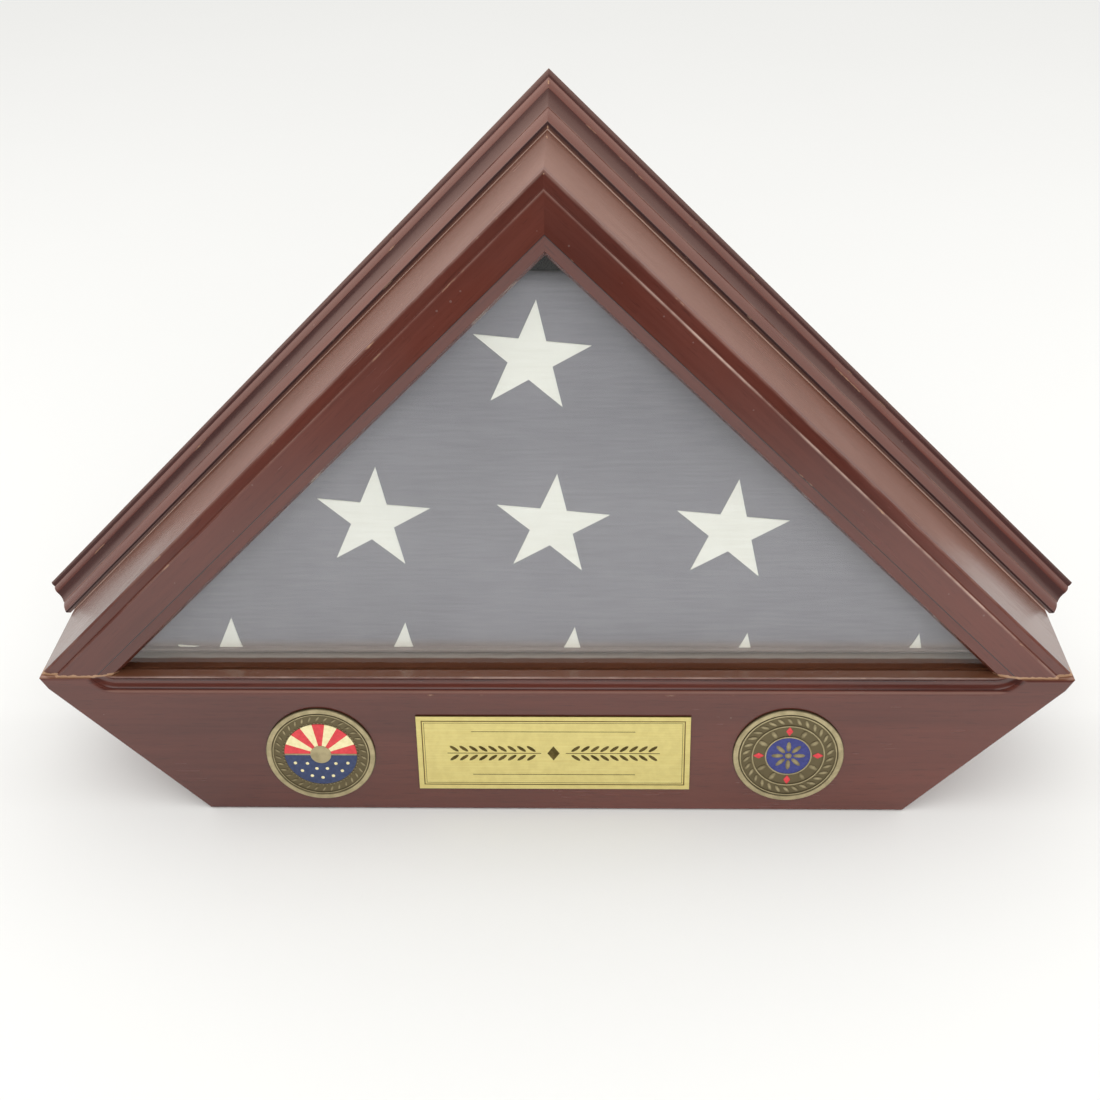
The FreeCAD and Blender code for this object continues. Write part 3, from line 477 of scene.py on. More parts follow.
def slope_painted_light(tree, place, grain, colour):
    """Painted shade on the crown's toe, cove and edge and by the rail's lip, painted light on the roof, and
    a painted glint where the crown is glued to the roof.
    """
    _, depth, height = parts_of(tree, grain)
    back = minus(tree, depth, FRONT)
    toe = times(tree, within(tree, back, CROWN_TOE, 0.15), ramp(tree, height, TOE_START))
    # Painted shade on the crown's toe, cove and edge and by the rail's lip.
    dark = highest(tree, times(tree, toe, 0.9),
                   times(tree, within(tree, back, CROWN_COVE, 0.3), 0.7),
                   times(tree, ramp(tree, back, CROWN_EDGE), 0.65),
                   times(tree, within(tree, height, RAIL_LIP, 0.15), 0.75))
    # Painted light on the roof.
    colour = mixed(tree, times(tree, within(tree, back, ROOF, 0.5), 0.4), colour, LIT_TOP_TAN)
    colour = mixed(tree, dark, colour, PAINTED_SHADE_DARK)
    # Painted glint where the crown is glued to the roof.
    glint_line = within(tree, back, CROWN_GLINT_LINE, 0.3)
    return mixed(tree, times(tree, glint_line, 0.5), colour, PALE_GLINT)


def base_edges(tree, place, grain):
    """Distance to the outline and routed lines of the base front, and where its top edge gets a painted
    highlight.
    """
    x, y, z = parts_of(tree, place)
    slant = minus(tree, minus(tree, maths(tree, "ABSOLUTE", x), z), HALF_BOTTOM)
    slant = times(tree, slant, HALF_ROOT)
    places = [(y, z), (y, z), (y, z), (y, slant)]
    top_edge = (FRONT + ROUT_DEPTH * MM, BASE_TOP)
    lines = [(FRONT, 0.0), top_edge, (FRONT, BASE_TOP - ROUT_SHOULDER[1] * MM), (FRONT, 0.0)]
    # Painted highlight along the top edge.
    top_gap = line_distance(tree, [(y, z)], [top_edge])
    return line_distance(tree, places, lines), times(tree, edge_glint(tree, top_gap), 0.5)


# Depth behind the base front and height over the slope of the edges along the rails and crown.
SLOPE_EDGES = [(3.7, -0.3), (1.4, -4.6), (1.2, -15.7), (54.3, 1.5), (70.8, 7.5), (76.0, 9.2), (79.6, 10.7)]
# The edge of the crown's bead, which gets a painted highlight all along.
BEAD_EDGE = (62.6, 3.7)
# The step along each rail, whose painted highlight is brighter on the right, and the rail's outer edge,
# which also gets one.
RAIL_STEP = (1.6, -4.4)
RAIL_EDGE = (3.9, -0.2)
# How far below the top, in millimetres, the painted highlight on the right rail's step grows to full.
PALE_BELOW = (20.0, 60.0)


def slope_edges(tree, place, grain):
    """Distance to the edges along the slope, and where they get a painted highlight."""
    _, depth, height = parts_of(tree, grain)
    x, _, z = parts_of(tree, place)

    def gap_to(edges):
        lines = [(FRONT + across * MM, up * MM) for across, up in edges]
        return line_distance(tree, [(depth, height)] * len(lines), lines)

    # Painted highlights on the rail's step, brighter on the right and lower down, on the rail's edge and on
    # the crown's bead.
    right_side = maths(tree, "GREATER_THAN", x, 0.0)
    low_down = ramp(tree, minus(tree, SLOPE_SUM, z), PALE_BELOW)
    step_share = lifted(tree, right_side, low_down, 0.2)
    shares = [(RAIL_STEP, step_share), (RAIL_EDGE, 0.25), (BEAD_EDGE, 0.3)]
    pale = [times(tree, edge_glint(tree, gap_to([edge])), share) for edge, share in shares]
    return gap_to(SLOPE_EDGES), highest(tree, *pale)


# Sizes of the chips at the feet of the rails, along the mitres and at the top.
FOOT_CHIP = 2.2 * MM
FOOT_DEPTH = 9.0 * MM
MITRE_CHIP = 0.55 * MM
CREST_CHIP = 1.8 * MM
CREST = (0.0, FRONT + 2.5 * MM, SLOPE_SUM - 1.0 * MM)


def joint_chips(tree, place):
    """Pale wood that shows where the joints have opened, at the feet of the rails and at the top."""
    x, y, z = parts_of(tree, place)
    ragged = noise(tree, place, 420.0, 3.0)

    def nearer(gap, size):
        return maths(tree, "LESS_THAN", gap, times(tree, ragged, size))

    def here_and_there(mask, scale, level):
        patch = maths(tree, "GREATER_THAN", noise(tree, place, scale, 2.0), level)
        return times(tree, mask, patch)

    foot = nearer(maths(tree, "ABSOLUTE", minus(tree, z, BASE_TOP)), FOOT_CHIP)
    foot = times(tree, foot, maths(tree, "LESS_THAN", y, FRONT + FOOT_DEPTH))
    mitre = nearer(maths(tree, "ABSOLUTE", x), MITRE_CHIP)
    crest = nearer(distance(tree, place, CREST), CREST_CHIP)
    return highest(tree, crest, here_and_there(foot, 60.0, 0.41), here_and_there(mitre, 160.0, 0.64))


def plain_wood(name, dark, light, roughness):
    """Bare or lightly finished wood of the pieces inside the case."""
    material, tree, shader, place = new_material(name)
    figure, fibre, pores = placed(tree, WOOD_GRAIN, {"Vector": place})
    colour = mixed(tree, weighted(tree, (figure, 0.6), (fibre, 0.4)), dark, light)
    feed(tree, shader, {"Base Color": colour, "Roughness": lifted(tree, fibre, 0.15, roughness)})
    raised(tree, shader, minus(tree, fibre, pores), 0.2, 0.2 * MM)
    return material


FLOOR_DARK = (0.095, 0.030, 0.013, 1.0)
FLOOR_LIGHT = (0.165, 0.056, 0.025, 1.0)
# How far in front of the flag the paler strip on the floor begins and is full, and how ragged its edge is.
FOOT_STRIP_START = (-2.0, -0.4)
FOOT_STRIP_RAGGED = 1.5 * MM


def case_floor_finish():
    """Red-brown wood, paler along the foot of the flag."""
    material = plain_wood("case_floor_board", FLOOR_DARK, FLOOR_LIGHT, 0.5)
    tree = material.node_tree
    shader = tree.nodes["Principled BSDF"]
    wood = shader.inputs["Base Color"].links[0].from_socket
    place = tree.nodes.new("ShaderNodeTexCoord").outputs["Object"]
    # A paler strip along the foot of the flag.
    ragged = times(tree, noise(tree, place, 90.0, 3.0), FOOT_STRIP_RAGGED)
    depth = maths(tree, "ADD", parts_of(tree, place)[1], ragged)
    foot_strip = ramp(tree, minus(tree, depth, FLAG_LOW.y), FOOT_STRIP_START)
    colour = mixed(tree, times(tree, foot_strip, 0.85), wood, FOOT_STRIP_PALE)
    feed(tree, shader, {"Base Color": colour, "Specular IOR Level": 0.2})
    return material


CLEAN_GLASS = (0.96, 0.97, 0.96, 1.0)
DUSTY_GLASS = (0.90, 0.91, 0.90, 1.0)
GLASS_SHADOW = (0.92, 0.93, 0.92, 1.0)


def window_glass():
    """Clear glass with a thin film of dust, which lets the lamps through to the flag."""
    material, tree, shader, place = new_material("window_glass")
    specks, film = placed(tree, DUST, {"Vector": place})
    feed(tree, shader, {"Base Color": mixed(tree, film, CLEAN_GLASS, DUSTY_GLASS),
                        "Roughness": weighted(tree, (specks, 0.2), (film, 0.02)),
                        "Transmission Weight": 1.0, "IOR": 1.5, "Specular IOR Level": 0.15})
    path = tree.nodes.new("ShaderNodeLightPath")
    clear = put(tree, "ShaderNodeBsdfTransparent", {"Color": GLASS_SHADOW})
    both = put(tree, "ShaderNodeMixShader", {0: path.outputs["Is Shadow Ray"], 1: shader.outputs[0],
                                             2: clear.outputs[0]})
    feed(tree, tree.nodes["Material Output"], {"Surface": both.outputs[0]})
    return material


# How far above the floor, as a fall in millimetres, painted warm bounce light on the cloth begins and is
# full.
BOUNCE_START = (-9.0, -2.5)


def woven_cloth(name, dark, light, threads, sheen, bounce_tint):
    """Plain weave, with painted warm bounce light a little toward the floor of the case."""
    material, tree, shader, place = new_material(name)
    height, shade = placed(tree, WEAVE, {"Vector": place, "Threads": threads})
    colour = mixed(tree, step_between(tree, shade, 0.3, 0.7), dark, light)
    # Painted warm bounce light toward the floor of the case.
    bounce_lit = ramp(tree, minus(tree, FLAG_LOW.z, parts_of(tree, place)[2]), BOUNCE_START)
    feed(tree, shader, {"Base Color": mixed(tree, bounce_lit, colour, bounce_tint, "MULTIPLY"),
                        "Roughness": lifted(tree, shade, 0.15, 0.78),
                        "Sheen Weight": sheen, "Specular IOR Level": 0.2})
    raised(tree, shader, height, 0.05, 0.1 * MM)
    return material


def felt(name, dark, light):
    material, tree, shader, place = new_material(name)
    fuzz = noise(tree, place, 1500.0, 4.0, 0.7)
    nap = noise(tree, place, 60.0, 3.0)
    tone = weighted(tree, (fuzz, 0.6), (nap, 0.4))
    feed(tree, shader, {"Base Color": mixed(tree, step_between(tree, tone, 0.3, 0.7), dark, light),
                        "Roughness": lifted(tree, nap, 0.1, 0.85), "Sheen Weight": 0.4})
    raised(tree, shader, fuzz, 0.5, 0.4 * MM)
    return material


def worn_metal(name, dark, light, roughness, scratch):
    """Metal with tarnish blotches and fine scratches."""
    material, tree, shader, place = new_material(name)
    blotches, scratches = placed(tree, TARNISH, {"Vector": place})
    colour = mixed(tree, times(tree, blotches, 0.6), light, dark)
    feed(tree, shader, {"Base Color": colour, "Metallic": 1.0,
                        "Roughness": lifted(tree, blotches, 0.15, roughness)})
    raised(tree, shader, scratches, scratch, 0.05 * MM)
    return material


PATINA = (0.19, 0.155, 0.085, 1.0)
RUBBED_BRASS = (0.54, 0.46, 0.27, 1.0)


def antique_brass():
    """Brass with dark patina left in its low places and rubbed bright on its high ones."""
    material, tree, shader, place = new_material("antique_brass")
    toward = times(tree, parts_of(tree, place)[1], -1.0)
    high = step_between(tree, toward, -COIN_FIELD + 0.02 * MM, -COIN_FACE - 0.05 * MM)
    blotches, scratches = placed(tree, TARNISH, {"Vector": place})
    rub = minus(tree, high, times(tree, blotches, 0.35), clamp=True)
    feed(tree, shader, {"Base Color": mixed(tree, rub, PATINA, RUBBED_BRASS), "Metallic": 0.85,
                        "Roughness": lifted(tree, rub, -0.2, 0.52)})
    raised(tree, shader, scratches, 0.1, 0.05 * MM)
    return material


def enamel(name, dark, light):
    """Glassy enamel with slight pitting."""
    material, tree, shader, place = new_material(name)
    cloud = noise(tree, place, 700.0, 3.0)
    feed(tree, shader, {"Base Color": mixed(tree, step_between(tree, cloud, 0.3, 0.7), dark, light),
                        "Roughness": lifted(tree, cloud, 0.12, 0.18)})
    raised(tree, shader, cloud, 0.08, 0.1 * MM)
    return material


BRASS_DARK = (0.76, 0.62, 0.215, 1.0)
BRASS_LIGHT = (0.95, 0.86, 0.385, 1.0)
BRASS_SPOT = (0.42, 0.29, 0.09, 1.0)
ENGRAVED_BROWN = (0.17, 0.11, 0.035, 1.0)
# Depth below the plate's face, in millimetres, where engraving begins.
ENGRAVED_START = (0.04, 0.08)


def brushed_brass():
    """Yellow brass sheet, brushed lengthways, with darker engraving below its face."""
    material, tree, shader, place = new_material("brushed_brass")
    depth = minus(tree, parts_of(tree, place)[1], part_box("name_plate")[0].y)
    lines = noise(tree, stretched(tree, place, BRUSH_RATE), 1.0, 3.0)
    blotches, _ = placed(tree, TARNISH, {"Vector": place})
    colour = mixed(tree, lines, BRASS_DARK, BRASS_LIGHT)
    colour = mixed(tree, times(tree, blotches, 0.12), colour, BRASS_SPOT)
    colour = mixed(tree, ramp(tree, depth, ENGRAVED_START), colour, ENGRAVED_BROWN)
    feed(tree, shader, {"Base Color": colour, "Metallic": 0.9, "Roughness": lifted(tree, lines, 0.16, 0.3)})
    raised(tree, shader, lines, 0.08, 0.05 * MM)
    return material


FLOOR_GREY = (0.835, 0.833, 0.812, 1.0)
FLOOR_PALE = (0.855, 0.853, 0.832, 1.0)


def pale_floor_finish():
    material, tree, shader, place = new_material("pale_floor")
    cloud = noise(tree, place, 3.0, 3.0)
    feed(tree, shader, {"Base Color": mixed(tree, cloud, FLOOR_GREY, FLOOR_PALE), "Roughness": 0.9,
                        "Specular IOR Level": 0.0})
    return material


MAHOGANY_BASE = lacquered_wood("mahogany_base", base_painted_light, base_edges)
MAHOGANY_SLOPE = lacquered_wood("mahogany_slope", slope_painted_light, slope_edges, joint_chips, on_slope=True)
FLOOR_WOOD = case_floor_finish()
DOOR_WOOD = plain_wood("door_board", (0.055, 0.022, 0.014, 1.0), (0.11, 0.045, 0.028, 1.0), 0.5)
RAW_WOOD = plain_wood("raw_wood", (0.42, 0.27, 0.15, 1.0), (0.62, 0.44, 0.27, 1.0), 0.6)
GLASS = window_glass()
# The last colour of each cloth is its painted warm bounce light near the floor.
FLAG_BLUE = woven_cloth("flag_blue", (0.248, 0.239, 0.268, 1.0), (0.293, 0.284, 0.313, 1.0), 2400.0, 0.1,
                         (1.10, 0.92, 0.75, 1.0))
STAR_WHITE = woven_cloth("star_white", (0.90, 0.885, 0.815, 1.0), (0.96, 0.95, 0.89, 1.0), 1800.0, 0.1,
                          (1.0, 0.97, 0.92, 1.0))
FELT = felt("lining_felt", (0.010, 0.010, 0.012, 1.0), (0.028, 0.028, 0.032, 1.0))
HINGE_BRASS = worn_metal("hinge_brass", (0.30, 0.19, 0.06, 1.0), (0.68, 0.50, 0.20, 1.0), 0.3, 0.15)
PLATED_STEEL = worn_metal("plated_steel", (0.36, 0.35, 0.33, 1.0), (0.62, 0.62, 0.61, 1.0), 0.28, 0.2)
MAGNET = worn_metal("magnet_black", (0.02, 0.02, 0.022, 1.0), (0.06, 0.06, 0.065, 1.0), 0.5, 0.3)
ANTIQUE = antique_brass()
BRIGHT_BRASS = brushed_brass()
NAVY = enamel("navy_enamel", (0.022, 0.035, 0.095, 1.0), (0.032, 0.050, 0.125, 1.0))
RED = enamel("red_enamel", (0.58, 0.035, 0.045, 1.0), (0.68, 0.050, 0.060, 1.0))
CREAM = enamel("cream_enamel", (0.74, 0.65, 0.34, 1.0), (0.82, 0.74, 0.44, 1.0))
BLUE = enamel("blue_enamel", (0.026, 0.032, 0.16, 1.0), (0.038, 0.046, 0.21, 1.0))
ETCHED = worn_metal("etched_brass", (0.10, 0.075, 0.025, 1.0), (0.20, 0.15, 0.055, 1.0), 0.5, 0.1)

FINISHES = [
    (MAHOGANY_BASE, "base_front base_back base_left_side base_right_side base_bottom"),
    (FLOOR_WOOD, "case_floor"),
    (MAHOGANY_SLOPE, "left_side_board right_side_board left_front_rail right_front_rail "
                     "left_crown_moulding right_crown_moulding left_glass_stop right_glass_stop"),
    (DOOR_WOOD, "back_panel"),
    (RAW_WOOD, "base_glue_blocks side_dowels rail_dowels apex_block"),
    (GLASS, "glass_pane"),
    (FLAG_BLUE, "folded_flag"),
    (FELT, "door_lining"),
    (HINGE_BRASS, "left_hinge_base_leaf right_hinge_base_leaf left_hinge_door_leaf right_hinge_door_leaf "
                  "hinge_base_screws hinge_door_screws door_knob"),
    (PLATED_STEEL, "left_hinge_pin right_hinge_pin stop_brads strike_plate strike_screws knob_screw"),
    (MAGNET, "catch_magnet"),
    (ANTIQUE, "left_medallion right_medallion"),
    (BRIGHT_BRASS, "name_plate"),
]
for finish, names in FINISHES:
    for name in names.split():
        nodes[name].data.materials.clear()
        nodes[name].data.materials.append(finish)


# Modelling helpers

BACKWARD = (0.0, 1.0, 0.0)
UPWARD = (0.0, 0.0, 1.0)
# Points this near are one point, and faces this near to a level lie on it.
SAME_POINT = 0.002 * MM
SAME_LEVEL = 0.005 * MM


def fresh():
    if bpy.context.object and bpy.context.object.mode != "OBJECT":
        bpy.ops.object.mode_set(mode="OBJECT")
    bpy.ops.object.select_all(action="DESELECT")


def work_on(piece):
    fresh()
    piece.select_set(True)
    bpy.context.view_layer.objects.active = piece


def settle(piece):
    """Put the piece's place, turn and size into its mesh."""
    work_on(piece)
    bpy.ops.object.transform_apply(location=True, rotation=True, scale=True)


def just_added(name, scale=(1.0, 1.0, 1.0)):
    """The piece that was added last, named, sized and settled."""
    piece = bpy.context.object
    piece.name = name
    piece.scale = scale
    settle(piece)
    return piece


def open_mesh(piece):
    work_on(piece)
    bpy.ops.object.mode_set(mode="EDIT")


def open_all(piece):
    open_mesh(piece)
    bpy.ops.mesh.select_all(action="SELECT")


def close_mesh():
    bpy.ops.object.mode_set(mode="OBJECT")


def cut_away(place, normal, beyond, fill=True):
    """In edit mode, cut the whole mesh at a plane and drop what lies beyond it, or short of it."""
    bpy.ops.mesh.select_all(action="SELECT")
    bpy.ops.mesh.bisect(plane_co=place, plane_no=normal, use_fill=fill, clear_outer=beyond,
                        clear_inner=not beyond)


def pick(kind, test):
    """In edit mode, select the points, edges or faces whose middle passes a test."""
    bpy.ops.mesh.select_mode(type=kind)
    bpy.ops.mesh.select_all(action="DESELECT")
    mesh = bmesh.from_edit_mesh(bpy.context.object.data)
    if kind == "VERT":
        chosen = [v for v in mesh.verts if test(v.co)]
    elif kind == "EDGE":
        chosen = [e for e in mesh.edges if test((e.verts[0].co + e.verts[1].co) / 2)]
    else:
        chosen = [f for f in mesh.faces if test(f.calc_center_median())]
    for item in chosen:
        item.select_set(True)
    mesh.select_flush_mode()
    bmesh.update_edit_mesh(bpy.context.object.data)


def apply_modifier(piece, kind, **settings):
    work_on(piece)
    modifier = piece.modifiers.new(kind.lower(), kind)
    for name, value in settings.items():
        setattr(modifier, name, value)
    bpy.ops.object.modifier_apply(modifier=modifier.name)


def copied(piece, change):
    """A copy with its own mesh, moved by a matrix."""
    twin = piece.copy()
    twin.data = piece.data.copy()
    twin.data.transform(change)
    bpy.context.scene.collection.objects.link(twin)
    return twin


def merged(pieces):
    fresh()
    for piece in pieces:
        piece.select_set(True)
    bpy.context.view_layer.objects.active = pieces[0]
    if len(pieces) > 1:
        bpy.ops.object.join()
    return pieces[0]


def dress(piece, name, finish, smooth=None):
    """Name a finished piece, give it its finish, and let it ride on the case."""
    piece.name = name
    piece.data.name = name
    piece.data.materials.clear()
    piece.data.materials.append(finish)
    work_on(piece)
    if smooth:
        bpy.ops.object.shade_smooth_by_angle(angle=math.radians(smooth))
    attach(piece, "case")
    return piece


def turn_about(centre, angle):
    """A turn in the plane of the case's front, about a centre."""
    centre = Vector(centre)
    return Matrix.Translation(centre) @ Matrix.Rotation(angle, 4, "Y") @ Matrix.Translation(-centre)


def disc(name, centre, radius, sides):
    """A flat disc that faces the front."""
    fresh()
    bpy.ops.mesh.primitive_circle_add(vertices=sides, radius=radius, fill_type="NGON", location=centre,
                                      rotation=FACING_FRONT)
    return just_added(name)


# Corners of a five-pointed star, and its inner radius as a share of its outer one.
STAR_SIDES = 10
STAR_WAIST = 0.382


def star_blank(name, centre, radius):
    """A flat five-pointed star that faces the front, drawn in from a ten-sided disc."""
    def inner(place):
        angle = math.atan2(place.x - centre[0], place.z - centre[2])
        return round(angle / (2.0 * math.pi / STAR_SIDES)) % 2 == 1

    piece = disc(name, centre, radius, STAR_SIDES)
    open_mesh(piece)
    pick("VERT", inner)
    bpy.ops.transform.resize(value=(STAR_WAIST, STAR_WAIST, STAR_WAIST), center_override=centre)
    close_mesh()
    return piece


def tidy_mesh(piece):
    """Merge doubled points and turn every face outward."""
    open_all(piece)
    bpy.ops.mesh.remove_doubles(threshold=SAME_POINT)
    bpy.ops.mesh.normals_make_consistent(inside=False)
    close_mesh()


def raise_up(height):
    """In edit mode, draw the chosen faces out toward the front."""
    bpy.ops.mesh.extrude_region_move(TRANSFORM_OT_translate={"value": (0.0, -height, 0.0)})


def soften_front(piece, edge):
    """Bevel the outline of a low block's front face."""
    front = min(point.co.y for point in piece.data.vertices)
    open_mesh(piece)
    pick("FACE", lambda place: abs(place.y - front) < SAME_LEVEL)
    bpy.ops.mesh.region_to_loop()
    bpy.ops.mesh.bevel(offset=edge, segments=2)
    close_mesh()
    tidy_mesh(piece)


def low_disc(name, centre, radius, height, sides, edge):
    piece = disc(name, centre, radius, sides)
    open_all(piece)
    raise_up(height)
    close_mesh()
    soften_front(piece, edge)
    return piece


RING_SIDES = 72


def ring_sectors(name, centre, outer, inner, height, keep=None):
    """A low ring, or the sectors of it whose angle from the top passes a test."""

    def left_out(place):
        return not keep(math.degrees(math.atan2(place.x - centre[0], place.z - centre[2])))

    piece = disc(name, centre, outer, RING_SIDES)
    open_all(piece)
    bpy.ops.mesh.inset(thickness=outer - inner)
    bpy.ops.mesh.delete(type="FACE")
    if keep:
        pick("FACE", left_out)
        bpy.ops.mesh.delete(type="FACE")
    bpy.ops.mesh.select_all(action="SELECT")
    raise_up(height)
    close_mesh()
    tidy_mesh(piece)
    return piece


def leaf(name, centre, length, width, height, sides=8):
    """A pointed leaf or lozenge with a raised middle, lying along Z."""
    piece = disc(name, centre, length / 2, sides)
    open_all(piece)
    bpy.ops.transform.resize(value=(width / length, 1.0, 1.0), center_override=centre)
    raise_up(height * 0.5)
    bpy.ops.mesh.poke(offset=height * 0.5)
    close_mesh()
    tidy_mesh(piece)
    return piece


def bead(name, centre, radius, height):
    """Half a small ball, pressed low."""
    fresh()
    bpy.ops.mesh.primitive_uv_sphere_add(segments=8, ring_count=6, radius=radius, location=centre)
    piece = just_added(name)
    open_mesh(piece)
    cut_away(centre, BACKWARD, beyond=True)
    bpy.ops.mesh.select_all(action="SELECT")
    bpy.ops.transform.resize(value=(1.0, height / radius, 1.0), center_override=centre)
    close_mesh()
    tidy_mesh(piece)
    return piece


def bar(name, centre, width, depth, height, edge):
    """A straight bar with softened edges."""
    fresh()
    bpy.ops.mesh.primitive_cube_add(size=1.0, location=centre)
    piece = just_added(name, (width, depth, height))
    soften_front(piece, edge)
    return piece


def around(piece, centre, count):
    """The piece and its copies, spaced evenly about a centre."""
    turns = [turn_about(centre, 2.0 * math.pi * row / count) for row in range(1, count)]
    return [piece] + [copied(piece, turn) for turn in turns]


def up_from(centre, rise, across=0.0):
    return (centre[0] + across, centre[1], centre[2] + rise)


# Left medallion: a wreath of darts and pearls around red and cream rays over a dotted navy half.

RELIEF_LIFT = 0.05 * MM
SMOOTH_RELIEF = 35
WREATH_LINE = 19.6 * MM
DART_REACH = 17.6 * MM
PEARL_REACH = 15.3 * MM
RAYS_OUTER = 14.8 * MM
RAYS_INNER = 4.2 * MM
RAY_TURN = 20.0
RAY_HEIGHT = 0.30 * MM
# Reach in millimetres of each row of dots in the navy half, and their turns from the top.
DOT_ROWS = ((11.6, (112, 135, 158, 180, 202, 225, 248)), (7.4, (128, 163, 197, 232)))


def medallion_centre(name):
    low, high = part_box(name)
    return ((low.x + high.x) / 2, COIN_FIELD + RELIEF_LIFT, (low.z + high.z) / 2)


def leaning(piece, centre, turn):
    piece.data.transform(turn_about(centre, math.radians(turn)))
    return piece


def coin_piece(name, pieces, finish, smooth=None):
    dress(merged(pieces), name, finish, smooth)


def upper_rays(name, odd):
    """Every second ray of the upper half."""
    def kept(angle):
        return abs(angle) < 90.0 and (angle + 90.0) // RAY_TURN % 2 == odd

    return ring_sectors(name, left, RAYS_OUTER, RAYS_INNER, RAY_HEIGHT, kept)


left = medallion_centre("left_medallion")
dart_place = up_from(left, DART_REACH)
dart = leaning(leaf("left_dart", dart_place, 3.0 * MM, 1.0 * MM, 0.42 * MM), dart_place, 32.0)
pearl = bead("left_pearl", up_from(left, PEARL_REACH), 0.42 * MM, 0.40 * MM)
boss = low_disc("left_boss", left, 4.3 * MM, 0.45 * MM, 36, 0.15 * MM)
divider = bar("left_divider", left, 29.6 * MM, 0.8 * MM, 0.8 * MM, 0.15 * MM)
outer_line = ring_sectors("left_outer_line", left, WREATH_LINE, WREATH_LINE - 0.4 * MM, 0.40 * MM)
relief = around(dart, left, 34) + around(pearl, left, 64) + [boss, divider, outer_line]
coin_piece("left_relief", relief, ANTIQUE, SMOOTH_RELIEF)
coin_piece("left_red_rays", [upper_rays("left_red_rays", 0)], RED)
cream = [upper_rays("left_cream_rays", 1)]
for reach, turns in DOT_ROWS:
    dot = bead("left_dot", up_from(left, reach * MM), 0.95 * MM, 0.42 * MM)
    cream += [copied(dot, turn_about(left, math.radians(turn))) for turn in turns]
    bpy.data.objects.remove(dot)
coin_piece("left_cream", cream, CREAM, SMOOTH_RELIEF)
navy_half = ring_sectors("left_navy_half", left, RAYS_OUTER, RAYS_INNER, 0.26 * MM,
                         lambda angle: abs(angle) > 90.0)
coin_piece("left_navy_half", [navy_half], NAVY)


# Right medallion: a leafy wreath around a blue field with a rosette, and four red lozenges.

LEAF_REACH = 16.9 * MM
PETAL_REACH = 11.9 * MM
ROSETTE_REACH = 4.4 * MM
LINE_REACHES = (9.4 * MM, 14.7 * MM, WREATH_LINE)
LINE_WIDTH = 0.5 * MM
# Every third place around the field holds a lozenge, and the others a petal.
PETAL_PLACES = 12

right = medallion_centre("right_medallion")
leaf_place = up_from(right, LEAF_REACH)
spray = leaning(leaf("right_leaf", leaf_place, 4.0 * MM, 1.5 * MM, 0.45 * MM), leaf_place, -40.0)
petal = leaf("right_petal", up_from(right, PETAL_REACH), 4.2 * MM, 2.2 * MM, 0.42 * MM)
petals = around(petal, right, PETAL_PLACES)
rosette = leaf("rosette_petal", up_from(right, ROSETTE_REACH), 5.6 * MM, 2.2 * MM, 0.40 * MM)
heart = bead("rosette_heart", right, 1.7 * MM, 0.45 * MM)
relief = around(spray, right, 30) + around(rosette, right, 8) + [heart]
relief += [item for row, item in enumerate(petals) if row % 3]
for spare in petals[::3]:
    bpy.data.objects.remove(spare)
relief += [ring_sectors("right_line_%d" % row, right, reach, reach - LINE_WIDTH, 0.42 * MM)
           for row, reach in enumerate(LINE_REACHES)]
coin_piece("right_relief", relief, ANTIQUE, SMOOTH_RELIEF)
blue_field = ring_sectors("right_blue_field", right, 8.95 * MM, 1.4 * MM, 0.22 * MM)
coin_piece("right_blue_field", [blue_field], BLUE)
lozenge = leaf("right_lozenge", up_from(right, PETAL_REACH), 4.4 * MM, 2.8 * MM, 0.36 * MM, 4)
coin_piece("right_red", around(lozenge, right, PETAL_PLACES // 3), RED)


# Brass plate with an engraved double border, and an etched sprig between two rules.

# In millimetres: the plate's softened edge, each border line's margin and width, and the sliver after it.
PLATE_EDGE = 0.2
BORDER_LINES = ((1.9, 0.45), (0.55, 0.2))
SLIVER = 0.01
GROOVE_DEPTH = 0.14 * MM
# The etching's height, and the depth and softened edge of its bars.
ETCH_HEIGHT = 0.06 * MM
ETCH_DEPTH = 0.08 * MM
ETCH_EDGE = 0.02 * MM
# The sprig's leaves: rows on each side, their first place, step and lift in millimetres, and lean.
LEAF_ROWS = 9
LEAF_START = 9.0
LEAF_STEP = 3.9
LEAF_LIFT = 2.2
LEAF_LEAN = 38.0

plate_low, plate_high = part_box("name_plate")
plate_middle = (plate_low + plate_high) / 2
plate_half = (plate_high - plate_low) / 2
grooves = []


def on_face(place):
    return abs(place.y - plate_low.y) < SAME_LEVEL


def in_groove(place):
    """On the plate's face, in one of the two lines of its border."""
    reach = min(plate_half.x - abs(place.x - plate_middle.x), plate_half.z - abs(place.z - plate_middle.z))
    reach = reach / MM - PLATE_EDGE
    return on_face(place) and any(start < reach < end for start, end in grooves)


plate = bar("engraved_plate", plate_middle, *(plate_high - plate_low), PLATE_EDGE * MM)
open_mesh(plate)
pick("FACE", on_face)
reached = 0.0
for margin, width in BORDER_LINES:
    for thickness in (margin, width, SLIVER):
        bpy.ops.mesh.inset(thickness=thickness * MM)
    grooves.append((reached + margin, reached + margin + width))
    reached += margin + width + SLIVER
pick("FACE", in_groove)
raise_up(-GROOVE_DEPTH)
close_mesh()
tidy_mesh(plate)
dress(plate, "engraved_plate", BRIGHT_BRASS)
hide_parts("name_plate")

